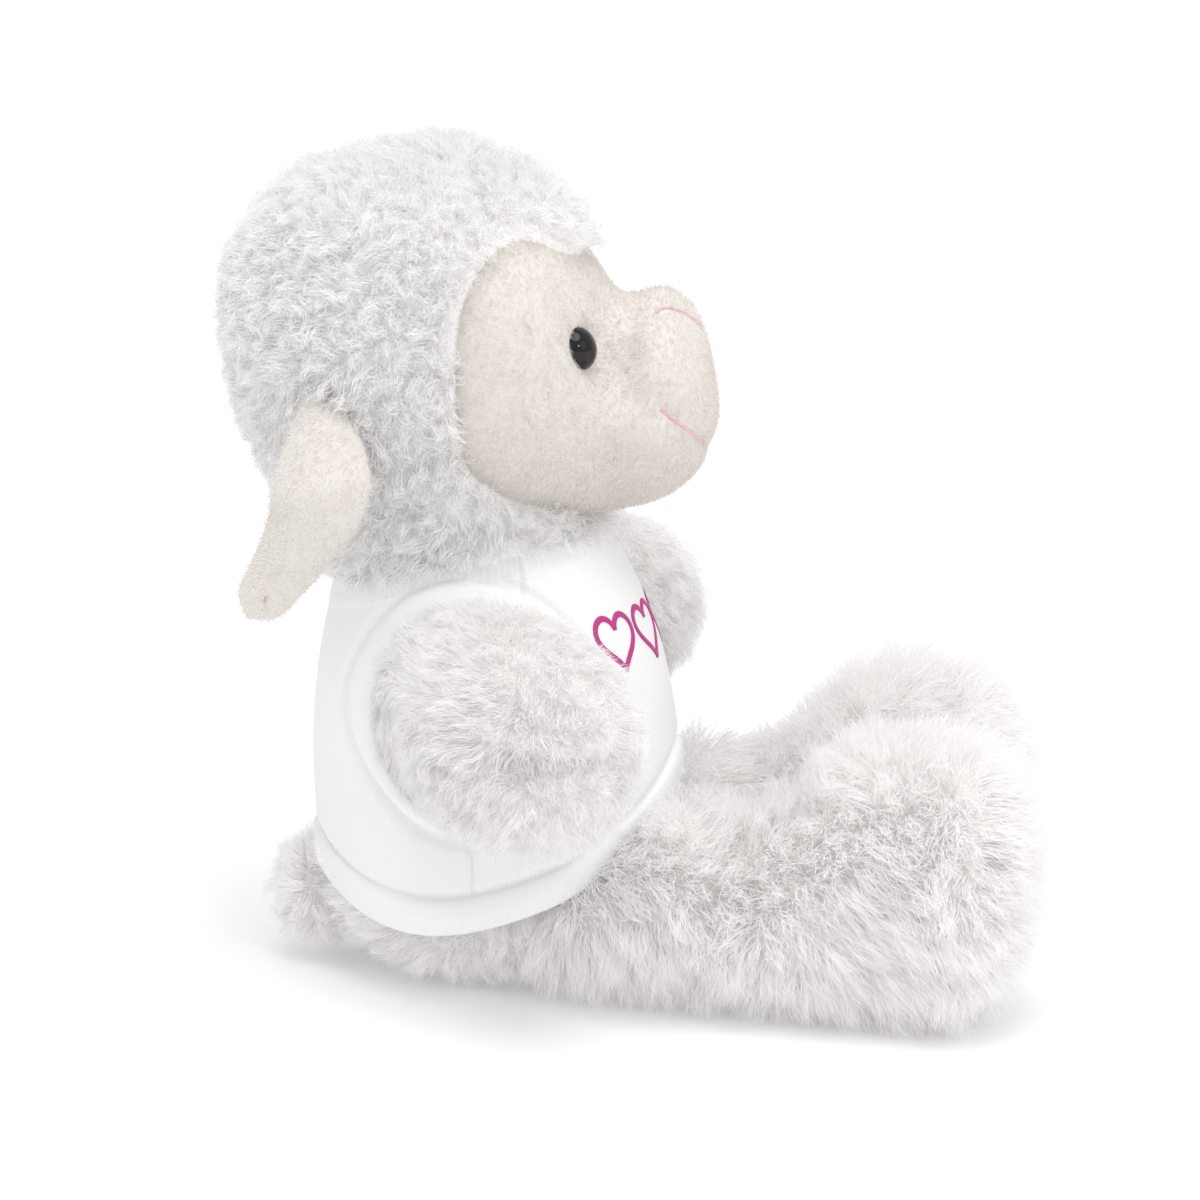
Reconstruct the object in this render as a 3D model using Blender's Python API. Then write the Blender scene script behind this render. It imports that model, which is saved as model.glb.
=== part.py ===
"""A seated plush sheep in a sleeveless tee: its sewn skins, its filling and its seams.

Everything is in metres. The toy faces -Y, its left side is +X, and it sits on Z = 0
with the middle of its flat seat at the origin. Each sewn skin is an open shell round
its own filling, and each limb hangs on the line of its seam.
"""
import functools
import math

import bmesh
import bpy
from mathutils import Matrix, Vector
from mathutils.bvhtree import BVHTree

# Cloth, thread and the room left between pieces
FLEECE_THICKNESS = 0.0020
FACE_CLOTH_THICKNESS = 0.0015
EAR_CLOTH_THICKNESS = 0.0017
TEE_THICKNESS = 0.0011
RIB_THICKNESS = 0.0015
THREAD_RADIUS = 0.0005
CLEARANCE = 0.0003
SEAM_GAP = 0.0004
SWING_ROOM = 0.0003
FLOOR_CUT = 0.0005
OVERRUN = 0.05

# Torso
BODY_HEIGHT = 0.1115
BODY_HALF_DEPTH = 0.0435
BODY_HALF_WIDTH = 0.0435
PELLET_BAG_RADIUS = 0.046
PELLET_BAG_HEIGHT = 0.026

# Neck ring: where the head is sewn on, on a plane that leans back
NECK_FORWARD = -0.004
NECK_DROP = 0.0055
NECK_UP = BODY_HEIGHT - NECK_DROP
NECK_LEAN = math.radians(10.8)

# Head, whose form starts below the neck ring
HEAD_SEAT = 0.016
HEAD_BOTTOM = NECK_UP - HEAD_SEAT
HEAD_HEIGHT = 0.1195
HEAD_HALF_DEPTH = 0.044
HEAD_HALF_WIDTH = 0.0455
HEAD_BACK_SET = 0.020

# Face panel and muzzle, stacked from inside the head to the tip of the muzzle
FACE_BACK = -0.014
FACE_FRONT = 0.0583
FACE_HALF_HEIGHT = 0.0345
FACE_HALF_WIDTH = 0.0420
FACE_RISE = 0.060
FACE_UP = HEAD_BOTTOM + FACE_RISE

# Safety eyes
EYE_RADIUS = 0.0054
EYE_HEIGHT = 0.0044
EYE_STEM_RADIUS = 0.0017
EYE_STEM_LENGTH = 0.0105
EYE_SIDE = 0.0265
EYE_FORWARD = 0.0270
EYE_RISE = 0.0140
EYE_UP = FACE_UP + EYE_RISE
EYE_TURN = math.radians(48)
EYE_SINK = 0.0006
WASHER_RADIUS = 0.0055
WASHER_THICKNESS = 0.0014
WASHER_GRIP = 0.0052

# Ears, whose roots lie just off the head's sides and behind its middle
EAR_STAND_OFF = 0.0010
EAR_ROOT_SIDE = HEAD_HALF_WIDTH + EAR_STAND_OFF
EAR_ROOT_BACK = 0.0165
EAR_ROOT_FORWARD = -HEAD_BACK_SET - EAR_ROOT_BACK
EAR_RISE = 0.0625
EAR_ROOT_UP = HEAD_BOTTOM + EAR_RISE
EAR_LENGTH = 0.0520
EAR_HALF_WIDTH = 0.0128
EAR_DRIFT_BACK = 0.0160
EAR_DRIFT_OUT = 0.0080
EAR_CURL = 0.0045

# Arms
ARM_ROOT_FORWARD = 0.003
SHOULDER_DROP = 0.0395
ARM_ROOT_UP = BODY_HEIGHT - SHOULDER_DROP
ARM_LENGTH = 0.0560
ARM_HALF_HEIGHT = 0.0258
ARM_HALF_DEPTH = 0.0258
ARM_FORWARD_DRIFT = 0.0235
ARM_SWING_FORWARD = math.radians(25)
ARM_SWING_BACK = math.radians(15)

# Legs
LEG_ROOT_FORWARD = 0.004
LEG_REACH = 0.1330
LEG_ROOT_SIDE = 0.0220
FOOT_SIDE = 0.0385
FOOT_HALF_HEIGHT = 0.0358
FOOT_HALF_WIDTH = 0.0260
LEG_CREASE_FORWARD = 0.0350
LEG_CREASE_UP = 0.0445
LEG_LIFT_LIMIT = math.radians(20)

# Tail
TAIL_UP = 0.0165
TAIL_SINK = 0.0105
TAIL_ROOT_FORWARD = TAIL_SINK - BODY_HALF_DEPTH
TAIL_LENGTH = 0.0205
TAIL_RADIUS = 0.0112
TAIL_WAG_LIMIT = math.radians(25)

# Tee
HEM_FRONT = 0.0505
HEM_SIDE = 0.0215
HEM_BACK = 0.0285
HEM_BAND_HEIGHT = 0.0085
HEM_FLARE = 0.0010
NECK_RIB_HEIGHT = 0.0060
NECK_EDGE_DROP = 0.0012
ARMHOLE_FORWARD = 0.0010
ARMHOLE_DROP = 0.0020
ARMHOLE_UP = ARM_ROOT_UP - ARMHOLE_DROP
ARMHOLE_HALF_WIDTH = 0.0265
ARMHOLE_HALF_HEIGHT = 0.0230
ARMHOLE_RIB_WIDTH = 0.0052

# How fast the hem drops from front to side, how fast an ear drifts back, and how deep an armhole's cut starts
HEM_FALL_SHARE = 1.3
EAR_DRIFT_SHARE = 1.2
ARMHOLE_START_SHARE = 0.25

# Mesh fineness: sides round a form, rings between two stations, and rows and columns of the sheets
FINE_SIDES = 24
PLAIN_SIDES = 16
FINE_STEPS = 2
PLAIN_STEPS = 1
TURNED_SIDES = 16
DRAPE_SIDES = 32
DRAPE_ROWS = 10
DRAPE_ROOM = 0.0005
RIB_SIDES = 32
PANEL_ROWS = 9
PANEL_COLUMNS = 18
HEM_ROWS = 3
NECK_RIB_ROWS = 4
EAR_COLUMNS = 7
DOME_STEPS = 6
BAG_STEPS = 12
SHOULDER_COLUMNS = 25
SHOULDER_ROWS = 13

# Steps of a swing that its cuts are made for, rows of the torso's table and rounds of a search
ARM_SWING_STEPS = 16
LEG_SWING_STEPS = 2
TAIL_SWING_STEPS = 2
SECTION_ROWS = 60
HEIGHT_ROUNDS = 12
PLACE_ROUNDS = 20

# Stations of each form, as shares of its sizes. Torso: height, forward lean, half depth, half width, tilt.
BODY_STATION_SHARES = (
    (0.00, 0.00, 0.00, 0.00, 0.0),
    (0.05, 0.00, 0.58, 0.60, 0.0),
    (0.16, 0.00, 0.88, 0.90, 0.0),
    (0.34, 0.00, 0.99, 0.99, 0.1),
    (0.54, 0.01, 1.00, 0.99, 0.3),
    (0.72, -0.01, 0.94, 0.93, 0.6),
    (0.87, -0.05, 0.83, 0.84, 1.0),
    (0.96, -0.09, 0.66, 0.67, 1.0),
    (1.00, -0.11, 0.00, 0.00, 1.0),
)
# Head: height, forward lean, half depth, half width.
HEAD_STATION_SHARES = (
    (0.00, 0.36, 0.00, 0.00),
    (0.10, 0.32, 0.64, 0.62),
    (0.22, 0.20, 0.82, 0.79),
    (0.37, 0.00, 0.92, 0.92),
    (0.52, 0.00, 0.99, 1.00),
    (0.67, 0.00, 1.00, 1.00),
    (0.81, 0.04, 0.94, 0.92),
    (0.92, 0.09, 0.72, 0.70),
    (1.00, 0.14, 0.00, 0.00),
)
# Face: reach forward, rise of the middle, half height, half width.
FACE_STATION_SHARES = (
    (0.00, 0.06, 0.00, 0.00),
    (0.10, 0.06, 0.72, 0.82),
    (0.24, 0.07, 0.97, 1.01),
    (0.40, 0.07, 1.00, 0.93),
    (0.54, 0.00, 0.93, 0.78),
    (0.645, -0.10, 0.80, 0.655),
    (0.76, -0.07, 0.78, 0.66),
    (0.87, -0.06, 0.66, 0.57),
    (0.955, -0.10, 0.41, 0.37),
    (1.00, -0.16, 0.00, 0.00),
)
# Arm: reach, forward drift, half height, half depth. The root is pinched flat at its seam.
ARM_STATION_SHARES = (
    (-0.20, 0.00, 0.00, 0.00),
    (-0.07, 0.00, 0.54, 0.28),
    (0.05, 0.02, 0.74, 0.42),
    (0.20, 0.10, 0.92, 0.76),
    (0.42, 0.34, 1.00, 1.00),
    (0.66, 0.66, 0.97, 0.97),
    (0.86, 0.90, 0.72, 0.74),
    (1.00, 1.00, 0.00, 0.00),
)
# Leg: reach, drift to the side, middle height, half height, half width.
LEG_STATION_SHARES = (
    (0.00, 0.00, 0.62, 0.00, 0.00),
    (0.05, 0.04, 0.62, 0.42, 0.50),
    (0.14, 0.14, 0.62, 0.56, 0.66),
    (0.29, 0.32, 0.64, 0.615, 0.80),
    (0.47, 0.58, 0.72, 0.695, 0.86),
    (0.60, 0.80, 0.84, 0.815, 0.94),
    (0.71, 0.92, 0.985, 0.985, 1.00),
    (0.84, 1.00, 0.97, 0.965, 1.00),
    (0.95, 1.00, 0.94, 0.80, 0.84),
    (1.00, 1.00, 0.93, 0.00, 0.00),
)
# Tail: reach backward, half height, half width.
TAIL_STATION_SHARES = (
    (0.00, 0.00, 0.00),
    (0.16, 0.66, 0.46),
    (0.38, 0.90, 0.72),
    (0.62, 1.00, 1.00),
    (0.86, 0.74, 0.74),
    (1.00, 0.00, 0.00),
)
# Ear: share of its length, share of its half width.
EAR_STATION_SHARES = (
    (0.00, 0.34),
    (0.12, 0.62),
    (0.30, 1.00),
    (0.52, 0.98),
    (0.74, 0.76),
    (0.90, 0.62),
    (0.97, 0.44),
    (1.00, 0.16),
)

# Stitched lines of the face, one half each: shares of its half width, of its reach and of its half height.
NOSE_SHARES = (
    (0.286, 0.779, 0.638),
    (0.219, 0.837, 0.643),
    (0.148, 0.885, 0.594),
    (0.076, 0.920, 0.493),
    (0.000, 0.941, 0.406),
)
PHILTRUM_SHARES = (
    (0.000, 0.957, 0.304),
    (0.000, 0.979, 0.174),
    (0.000, 0.992, 0.000),
    (0.000, 0.993, -0.203),
    (0.000, 0.968, -0.362),
)
MOUTH_SHARES = (
    (0.536, 0.811, -0.052),
    (0.452, 0.851, -0.174),
    (0.333, 0.891, -0.275),
    (0.179, 0.927, -0.377),
    (0.000, 0.941, -0.435),
)

# Colours, roughness and metallic value
FLEECE_FINISH = ((0.86, 0.85, 0.86), 0.95, 0.0)
FACE_FINISH = ((0.87, 0.82, 0.77), 0.90, 0.0)
TEE_FINISH = ((0.93, 0.93, 0.94), 0.85, 0.0)
EYE_FINISH = ((0.012, 0.011, 0.012), 0.12, 0.0)
WASHER_FINISH = ((0.80, 0.80, 0.78), 0.45, 0.0)
THREAD_FINISH = ((0.86, 0.52, 0.54), 0.60, 0.0)
FILLING_FINISH = ((0.92, 0.92, 0.90), 0.95, 0.0)
PELLET_FINISH = ((0.75, 0.76, 0.78), 0.55, 0.0)


def place(side, forward, up):
    """A point from its distance to the toy's left, forward and up."""
    return Vector((side, -forward, up))


def finish(thing, look):
    """Gives the object a material of its own."""
    colour, roughness, metallic = look
    material = bpy.data.materials.new(thing.name)
    material.use_nodes = True
    shader = material.node_tree.nodes["Principled BSDF"]
    shader.inputs["Base Color"].default_value = (*colour, 1.0)
    shader.inputs["Roughness"].default_value = roughness
    shader.inputs["Metallic"].default_value = metallic
    thing.data.materials.append(material)


def smooth_stations(stations, steps):
    """Points of one smooth curve through the stations, whose two ends close round and blunt."""
    def mirrored(station, halves):
        return tuple(-v if i >= len(station) - halves else v for i, v in enumerate(station))

    halves = 2
    rows = [mirrored(stations[1], halves), *stations, mirrored(stations[-2], halves)]
    smoothed = []
    for before, here, after, last in zip(rows, rows[1:], rows[2:], rows[3:]):
        for step in range(steps):
            t = step / steps
            smoothed.append(tuple(
                (2 * b + (c - a) * t + (2 * a - 5 * b + 4 * c - d) * t ** 2
                 + (3 * b - a - 3 * c + d) * t ** 3) / 2
                for a, b, c, d in zip(before, here, after, last)))
    smoothed.append(tuple(stations[-1]))
    return smoothed


def loft(rings, sides):
    """A closed mesh through rings of (centre, first arm, second arm). Its first and last are single points."""
    mesh = bmesh.new()
    first = mesh.verts.new(rings[0][0])
    rows = []
    for centre, along, across in rings[1:-1]:
        turns = (math.tau * k / sides for k in range(sides))
        rows.append([mesh.verts.new(centre + along * math.cos(a) + across * math.sin(a)) for a in turns])
    last = mesh.verts.new(rings[-1][0])
    for k in range(sides):
        n = (k + 1) % sides
        mesh.faces.new((first, rows[0][n], rows[0][k]))
        mesh.faces.new((last, rows[-1][k], rows[-1][n]))
        for low, high in zip(rows, rows[1:]):
            mesh.faces.new((low[k], low[n], high[n], high[k]))
    bmesh.ops.recalc_face_normals(mesh, faces=mesh.faces)
    return mesh


def body_rings(steps):
    rings = []
    shares = [(h, lean, tilt, depth, width) for h, lean, depth, width, tilt in BODY_STATION_SHARES]
    for height, lean, tilt, depth, width in smooth_stations(shares, steps):
        slope = NECK_LEAN * tilt
        centre = place(0, BODY_HALF_DEPTH * lean, BODY_HEIGHT * height - FLOOR_CUT)
        forward = place(0, math.cos(slope), math.sin(slope)) * BODY_HALF_DEPTH * depth
        rings.append((centre, place(1, 0, 0) * BODY_HALF_WIDTH * width, forward))
    return rings


def head_rings(steps):
    rings = []
    for height, lean, depth, width in smooth_stations(HEAD_STATION_SHARES, steps):
        centre = place(0, HEAD_HALF_DEPTH * lean - HEAD_BACK_SET, HEAD_BOTTOM + HEAD_HEIGHT * height)
        rings.append((centre, place(1, 0, 0) * HEAD_HALF_WIDTH * width,
                      place(0, 1, 0) * HEAD_HALF_DEPTH * depth))
    return rings


def face_rings(steps):
    rings = []
    for reach, rise, high, wide in smooth_stations(FACE_STATION_SHARES, steps):
        centre = place(0, FACE_BACK + (FACE_FRONT - FACE_BACK) * reach, FACE_UP + FACE_HALF_HEIGHT * rise)
        rings.append((centre, place(1, 0, 0) * FACE_HALF_WIDTH * wide,
                      place(0, 0, 1) * FACE_HALF_HEIGHT * high))
    return rings


def arm_rings(hand, root, steps):
    rings = []
    for reach, drift, high, deep in smooth_stations(ARM_STATION_SHARES, steps):
        centre = root + place(hand * ARM_LENGTH * reach, ARM_FORWARD_DRIFT * drift, 0)
        rings.append((centre, place(0, 1, 0) * ARM_HALF_DEPTH * deep,
                      place(0, 0, 1) * ARM_HALF_HEIGHT * high))
    return rings


def leg_rings(hand, steps):
    rings = []
    for reach, drift, middle, high, wide in smooth_stations(LEG_STATION_SHARES, steps):
        centre = place(hand * (LEG_ROOT_SIDE + (FOOT_SIDE - LEG_ROOT_SIDE) * drift),
                       LEG_ROOT_FORWARD + (LEG_REACH - LEG_ROOT_FORWARD) * reach,
                       FOOT_HALF_HEIGHT * middle)
        rings.append((centre, place(1, 0, 0) * FOOT_HALF_WIDTH * wide,
                      place(0, 0, 1) * FOOT_HALF_HEIGHT * high))
    return rings


def tail_rings(steps):
    rings = []
    for reach, high, wide in smooth_stations(TAIL_STATION_SHARES, steps):
        centre = place(0, TAIL_ROOT_FORWARD - TAIL_LENGTH * reach, TAIL_UP)
        rings.append((centre, place(1, 0, 0) * TAIL_RADIUS * wide, place(0, 0, 1) * TAIL_RADIUS * high))
    return rings


def form(rings_of, steps, sides, grow=0.0):
    """A closed form, grown along its normals."""
    mesh = loft(rings_of(steps), sides)
    mesh.normal_update()
    for corner in mesh.verts:
        corner.co += corner.normal * grow
    return mesh


def joined(outer, inner):
    """A hollow wall: the outer form with the inner one, turned inside out, within it."""
    bmesh.ops.reverse_faces(inner, faces=inner.faces)
    spare = bpy.data.meshes.new("inner")
    inner.to_mesh(spare)
    outer.from_mesh(spare)
    bpy.data.meshes.remove(spare)
    inner.free()
    return outer


def wall(rings_of, thickness):
    inner = form(rings_of, PLAIN_STEPS, PLAIN_SIDES, -thickness)
    return joined(form(rings_of, FINE_STEPS, FINE_SIDES), inner)


def filling(rings_of, thickness):
    return form(rings_of, PLAIN_STEPS, PLAIN_SIDES, -thickness - CLEARANCE)


def add(name, mesh, look=None, carrier=None):
    """An object from a mesh in world places. A carrier is the empty that it turns with."""
    origin = carrier.matrix_world.translation if carrier else Vector()
    bmesh.ops.translate(mesh, verts=mesh.verts, vec=-origin)
    data = bpy.data.meshes.new(name)
    mesh.to_mesh(data)
    mesh.free()
    data.shade_smooth()
    thing = bpy.data.objects.new(name, data)
    bpy.context.scene.collection.objects.link(thing)
    if carrier:
        thing.parent = carrier
    if look:
        finish(thing, look)
    return thing


def cutter(name, mesh):
    """A shape that only cuts others."""
    thing = add(name, mesh)
    thing.hide_render = True
    thing.display_type = "WIRE"
    return thing


def cut(thing, tool, keep=False):
    change = thing.modifiers.new(tool.name, "BOOLEAN")
    change.operation = "INTERSECT" if keep else "DIFFERENCE"
    change.object = tool
    return thing


def block(name, low, high):
    """A box from its lowest to its highest corner, as a cutter."""
    mesh = bmesh.new()
    bmesh.ops.create_cube(mesh, size=2)
    for corner in mesh.verts:
        corner.co = Vector((a + b + (b - a) * side) / 2 for a, b, side in zip(low, high, corner.co))
    return cutter(name, mesh)


def turned(profile, sides, frame):
    """A solid turned about the frame's Z, from (radius, height) points that start and end on the axis."""
    up = frame.to_3x3() @ Vector((0, 0, 1))
    first = frame.to_3x3() @ Vector((1, 0, 0))
    second = frame.to_3x3() @ Vector((0, 1, 0))
    rings = [(frame.translation + up * height, first * radius, second * radius) for radius, height in profile]
    return loft(rings, sides)


def seam(name, point, axis, carrier=None):
    """The empty that a sewn piece swings with, on its seam line, with Z along the axis."""
    empty = bpy.data.objects.new(name, None)
    empty.empty_display_size = EYE_RADIUS
    bpy.context.scene.collection.objects.link(empty)
    if carrier:
        empty.parent = carrier
        empty.location = point - carrier.matrix_world.translation
    else:
        empty.location = point
    bpy.context.view_layer.update()
    return empty


def turned_copy(tool, point, axis, angle, label):
    """The same cutter as the swinging piece meets it when it has turned by an angle."""
    copy = bpy.data.objects.new(f"{tool.name}_{label}", tool.data)
    bpy.context.scene.collection.objects.link(copy)
    copy.matrix_world = (Matrix.Translation(point) @ Matrix.Rotation(-angle, 4, axis)
                         @ Matrix.Translation(-point) @ tool.matrix_world)
    for change in tool.modifiers:
        same = copy.modifiers.new(change.name, "BOOLEAN")
        same.operation = change.operation
        same.object = change.object
    copy.hide_render = True
    copy.display_type = "WIRE"
    return copy


def swung(tool, label, point, axis, low, high, steps):
    """Copies of a cutter across the whole swing of a seam."""
    angles = [low + (high - low) * k / steps for k in range(steps + 1)]
    return [turned_copy(tool, point, axis, angle, f"{label}_{k}") for k, angle in enumerate(angles)]


def surface(rings_of):
    """A form that points can be laid on."""
    mesh = form(rings_of, FINE_STEPS, FINE_SIDES)
    tree = BVHTree.FromBMesh(mesh)
    mesh.free()
    return tree


def on_surface(tree, where, lift=0.0):
    """The point on the form nearest to a place, lifted off it."""
    point, normal, _, _ = tree.find_nearest(where)
    return point + normal * lift


def face_place(side, reach, rise):
    """A place on the face from shares of its half width, its reach and its half height."""
    return place(FACE_HALF_WIDTH * side, FACE_BACK + (FACE_FRONT - FACE_BACK) * reach,
                 FACE_UP + FACE_HALF_HEIGHT * rise)


def stitched_line(name, tree, half, carrier, mirrored):
    """A line of thread laid on the face, drawn from one half of its points."""
    points = list(half)
    if mirrored:
        points += [(-side, reach, rise) for side, reach, rise in reversed(half[:-1])]
    places = [face_place(*point) for point in points]
    line = bpy.data.curves.new(name, "CURVE")
    line.dimensions = "3D"
    line.bevel_depth = THREAD_RADIUS
    line.bevel_resolution = 1
    line.use_fill_caps = True
    spline = line.splines.new("POLY")
    route = []
    for start, end in zip(places, places[1:]):
        route += [start, (start + end) / 2]
    laid = [on_surface(tree, where, THREAD_RADIUS + CLEARANCE) for where in (*route, places[-1])]
    spline.points.add(len(laid) - 1)
    for knot, where in zip(spline.points, laid):
        knot.co = (*(where - carrier.matrix_world.translation), 1.0)
    thing = bpy.data.objects.new(name, line)
    bpy.context.scene.collection.objects.link(thing)
    thing.parent = carrier
    finish(thing, THREAD_FINISH)
    return thing


def hem_height(angle):
    """How high the hem hangs: over the thighs in front, lowest at the hips. The angle is 0 in front."""
    front, side = math.cos(angle), abs(math.sin(angle))
    end = HEM_FRONT if front > 0 else HEM_BACK
    return HEM_SIDE + (end - HEM_SIDE) * (1 - side ** 2) ** HEM_FALL_SHARE


def torso_section(up):
    """The torso's middle, half width and half depth at a height, with the lean of the section there."""
    rings = body_rings(FINE_STEPS * 4)
    for low, high in zip(rings, rings[1:]):
        if low[0].z <= up <= high[0].z:
            t = (up - low[0].z) / (high[0].z - low[0].z)
            return tuple(a + (b - a) * t for a, b in zip(low, high))
    return rings[-2]


@functools.cache
def torso_sections():
    """The torso's sections at equal steps of height."""
    return [torso_section(BODY_HEIGHT * k / SECTION_ROWS) for k in range(SECTION_ROWS + 1)]


def torso_point(angle, up, grow):
    """A point on the torso, grown, at an angle from the front, on the section whose middle is at a height."""
    sections = torso_sections()
    row = min(max(up / BODY_HEIGHT, 0), 1) * SECTION_ROWS
    k = min(int(row), SECTION_ROWS - 1)
    t = row - k
    centre, across, ahead = (a + (b - a) * t for a, b in zip(sections[k], sections[k + 1]))
    outward = (across.normalized() * math.sin(angle) / across.length
               + ahead.normalized() * math.cos(angle) / ahead.length)
    return centre + across * math.sin(angle) + ahead * math.cos(angle) + outward.normalized() * grow


def section_height(angle, up):
    """The height of the middle of the leaning section that passes through a height at an angle."""
    guess = up
    for _ in range(HEIGHT_ROUNDS):
        guess += up - torso_point(angle, guess, 0).z
    return guess


def draped_point(angle, section, grow):
    """A point of the cloth over a section of the torso: it stands off a little more towards the hem."""
    low = section_height(angle, hem_height(angle))
    high = NECK_UP - NECK_EDGE_DROP
    share = (section - low) / (high - low)
    return torso_point(angle, section, grow + HEM_FLARE * (1 - share) ** 2)


def tee_point(angle, share, grow):
    """A point of the tee: share 0 is its hem and share 1 its neck edge."""
    low = section_height(angle, hem_height(angle))
    high = NECK_UP - NECK_EDGE_DROP
    return draped_point(angle, low + (high - low) * share, grow)


def sheet(points_out, points_in, closed):
    """A thin solid between two grids of points. A closed one joins its last column to its first."""
    mesh = bmesh.new()
    grids = [[[mesh.verts.new(p) for p in column] for column in grid] for grid in (points_out, points_in)]
    columns, rows = len(points_out), len(points_out[0])
    last = columns if closed else columns - 1
    for c in range(last):
        n = (c + 1) % columns
        for r in range(rows - 1):
            for grid in grids:
                mesh.faces.new((grid[c][r], grid[n][r], grid[n][r + 1], grid[c][r + 1]))
        for r in (0, rows - 1):
            mesh.faces.new((grids[0][c][r], grids[0][n][r], grids[1][n][r], grids[1][c][r]))
    if not closed:
        for c in (0, columns - 1):
            for r in range(rows - 1):
                mesh.faces.new((grids[0][c][r], grids[0][c][r + 1], grids[1][c][r + 1], grids[1][c][r]))
    bmesh.ops.recalc_face_normals(mesh, faces=mesh.faces)
    return mesh


def tee_panel(first, last, low_share, high_share, inner, outer, rows, columns, closed=False):
    """A piece of the tee between two angles from the front and two shares of its height."""
    steps = columns if closed else columns - 1
    grids = []
    for grow in (outer, inner):
        grids.append([[tee_point(first + (last - first) * c / steps,
                                 low_share + (high_share - low_share) * r / (rows - 1), grow)
                       for r in range(rows)] for c in range(columns)])
    return sheet(*grids, closed)


def tee_volume(grow):
    """All that the tee goes round, as one closed form."""
    mesh = bmesh.new()
    low = -DRAPE_ROOM / (NECK_UP - HEM_FRONT)
    shares = [low + (1 - low) * r / (DRAPE_ROWS - 1) for r in range(DRAPE_ROWS)]
    rows = [[mesh.verts.new(tee_point(math.tau * c / DRAPE_SIDES, share, grow)) for c in range(DRAPE_SIDES)]
            for share in shares]
    ends = [mesh.verts.new(sum((v.co for v in row), Vector()) / DRAPE_SIDES) for row in (rows[0], rows[-1])]
    for c in range(DRAPE_SIDES):
        n = (c + 1) % DRAPE_SIDES
        for low, high in zip(rows, rows[1:]):
            mesh.faces.new((low[c], low[n], high[n], high[c]))
        mesh.faces.new((ends[0], rows[0][c], rows[0][n]))
        mesh.faces.new((ends[1], rows[-1][n], rows[-1][c]))
    bmesh.ops.recalc_face_normals(mesh, faces=mesh.faces)
    return mesh


def armhole_point(hand, turn, spread, grow):
    """A point on the clothed torso beside the arm: spread is how far outside the armhole's edge it is."""
    forward = ARMHOLE_FORWARD + (ARMHOLE_HALF_WIDTH + spread) * math.cos(turn)
    up = ARMHOLE_UP + (ARMHOLE_HALF_HEIGHT + spread) * math.sin(turn)
    angle = math.pi / 2
    for _ in range(PLACE_ROUNDS):
        guess = draped_point(angle, section_height(angle, up), grow)
        ahead = -guess.y - forward
        angle += ahead / BODY_HALF_DEPTH
    point = draped_point(angle, section_height(angle, up), grow)
    return Vector((hand * point.x, point.y, point.z))


def armhole_rib(hand, inner, outer):
    """The ribbed band sewn round an armhole."""
    grids = []
    for grow in (outer, inner):
        grids.append([[armhole_point(hand, math.tau * k / RIB_SIDES, spread, grow)
                       for spread in (0, ARMHOLE_RIB_WIDTH / 2, ARMHOLE_RIB_WIDTH)]
                      for k in range(RIB_SIDES)])
    return sheet(*grids, True)


def armhole_tool(name, hand):
    """The round hole that an armhole makes through one side of the tee."""
    mesh = bmesh.new()
    rows = []
    for reach in (BODY_HALF_WIDTH * ARMHOLE_START_SHARE, BODY_HALF_WIDTH + OVERRUN):
        rows.append([mesh.verts.new(place(hand * reach,
                                          ARMHOLE_FORWARD + ARMHOLE_HALF_WIDTH * math.cos(a),
                                          ARMHOLE_UP + ARMHOLE_HALF_HEIGHT * math.sin(a)))
                     for a in (math.tau * k / RIB_SIDES for k in range(RIB_SIDES))])
    for k in range(RIB_SIDES):
        n = (k + 1) % RIB_SIDES
        mesh.faces.new((rows[0][k], rows[0][n], rows[1][n], rows[1][k]))
    for row in rows:
        mesh.faces.new(row)
    bmesh.ops.recalc_face_normals(mesh, faces=mesh.faces)
    return cutter(name, mesh)


def build_torso(floor, above_neck):
    cut(cut(add("body_fleece", wall(body_rings, FLEECE_THICKNESS), FLEECE_FINISH), floor), above_neck)
    turns = [math.pi * k / BAG_STEPS for k in range(1, BAG_STEPS)]
    middle = [(PELLET_BAG_RADIUS * math.sin(a), -PELLET_BAG_HEIGHT * math.cos(a)) for a in turns]
    dome = [(0, -PELLET_BAG_HEIGHT), *middle, (0, PELLET_BAG_HEIGHT)]
    bag_tool = cutter("pellet_bag_shape", turned(dome, TURNED_SIDES, Matrix()))
    gap = 1 + SEAM_GAP / PELLET_BAG_HEIGHT
    wide = [(radius * gap, height * gap) for radius, height in dome]
    room_tool = cutter("pellet_bag_room", turned(wide, TURNED_SIDES, Matrix()))
    cut(add("pellet_bag", filling(body_rings, FLEECE_THICKNESS), PELLET_FINISH), bag_tool, keep=True)
    stuffing = add("body_stuffing", filling(body_rings, FLEECE_THICKNESS), FILLING_FINISH)
    cut(cut(stuffing, room_tool), above_neck)


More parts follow.
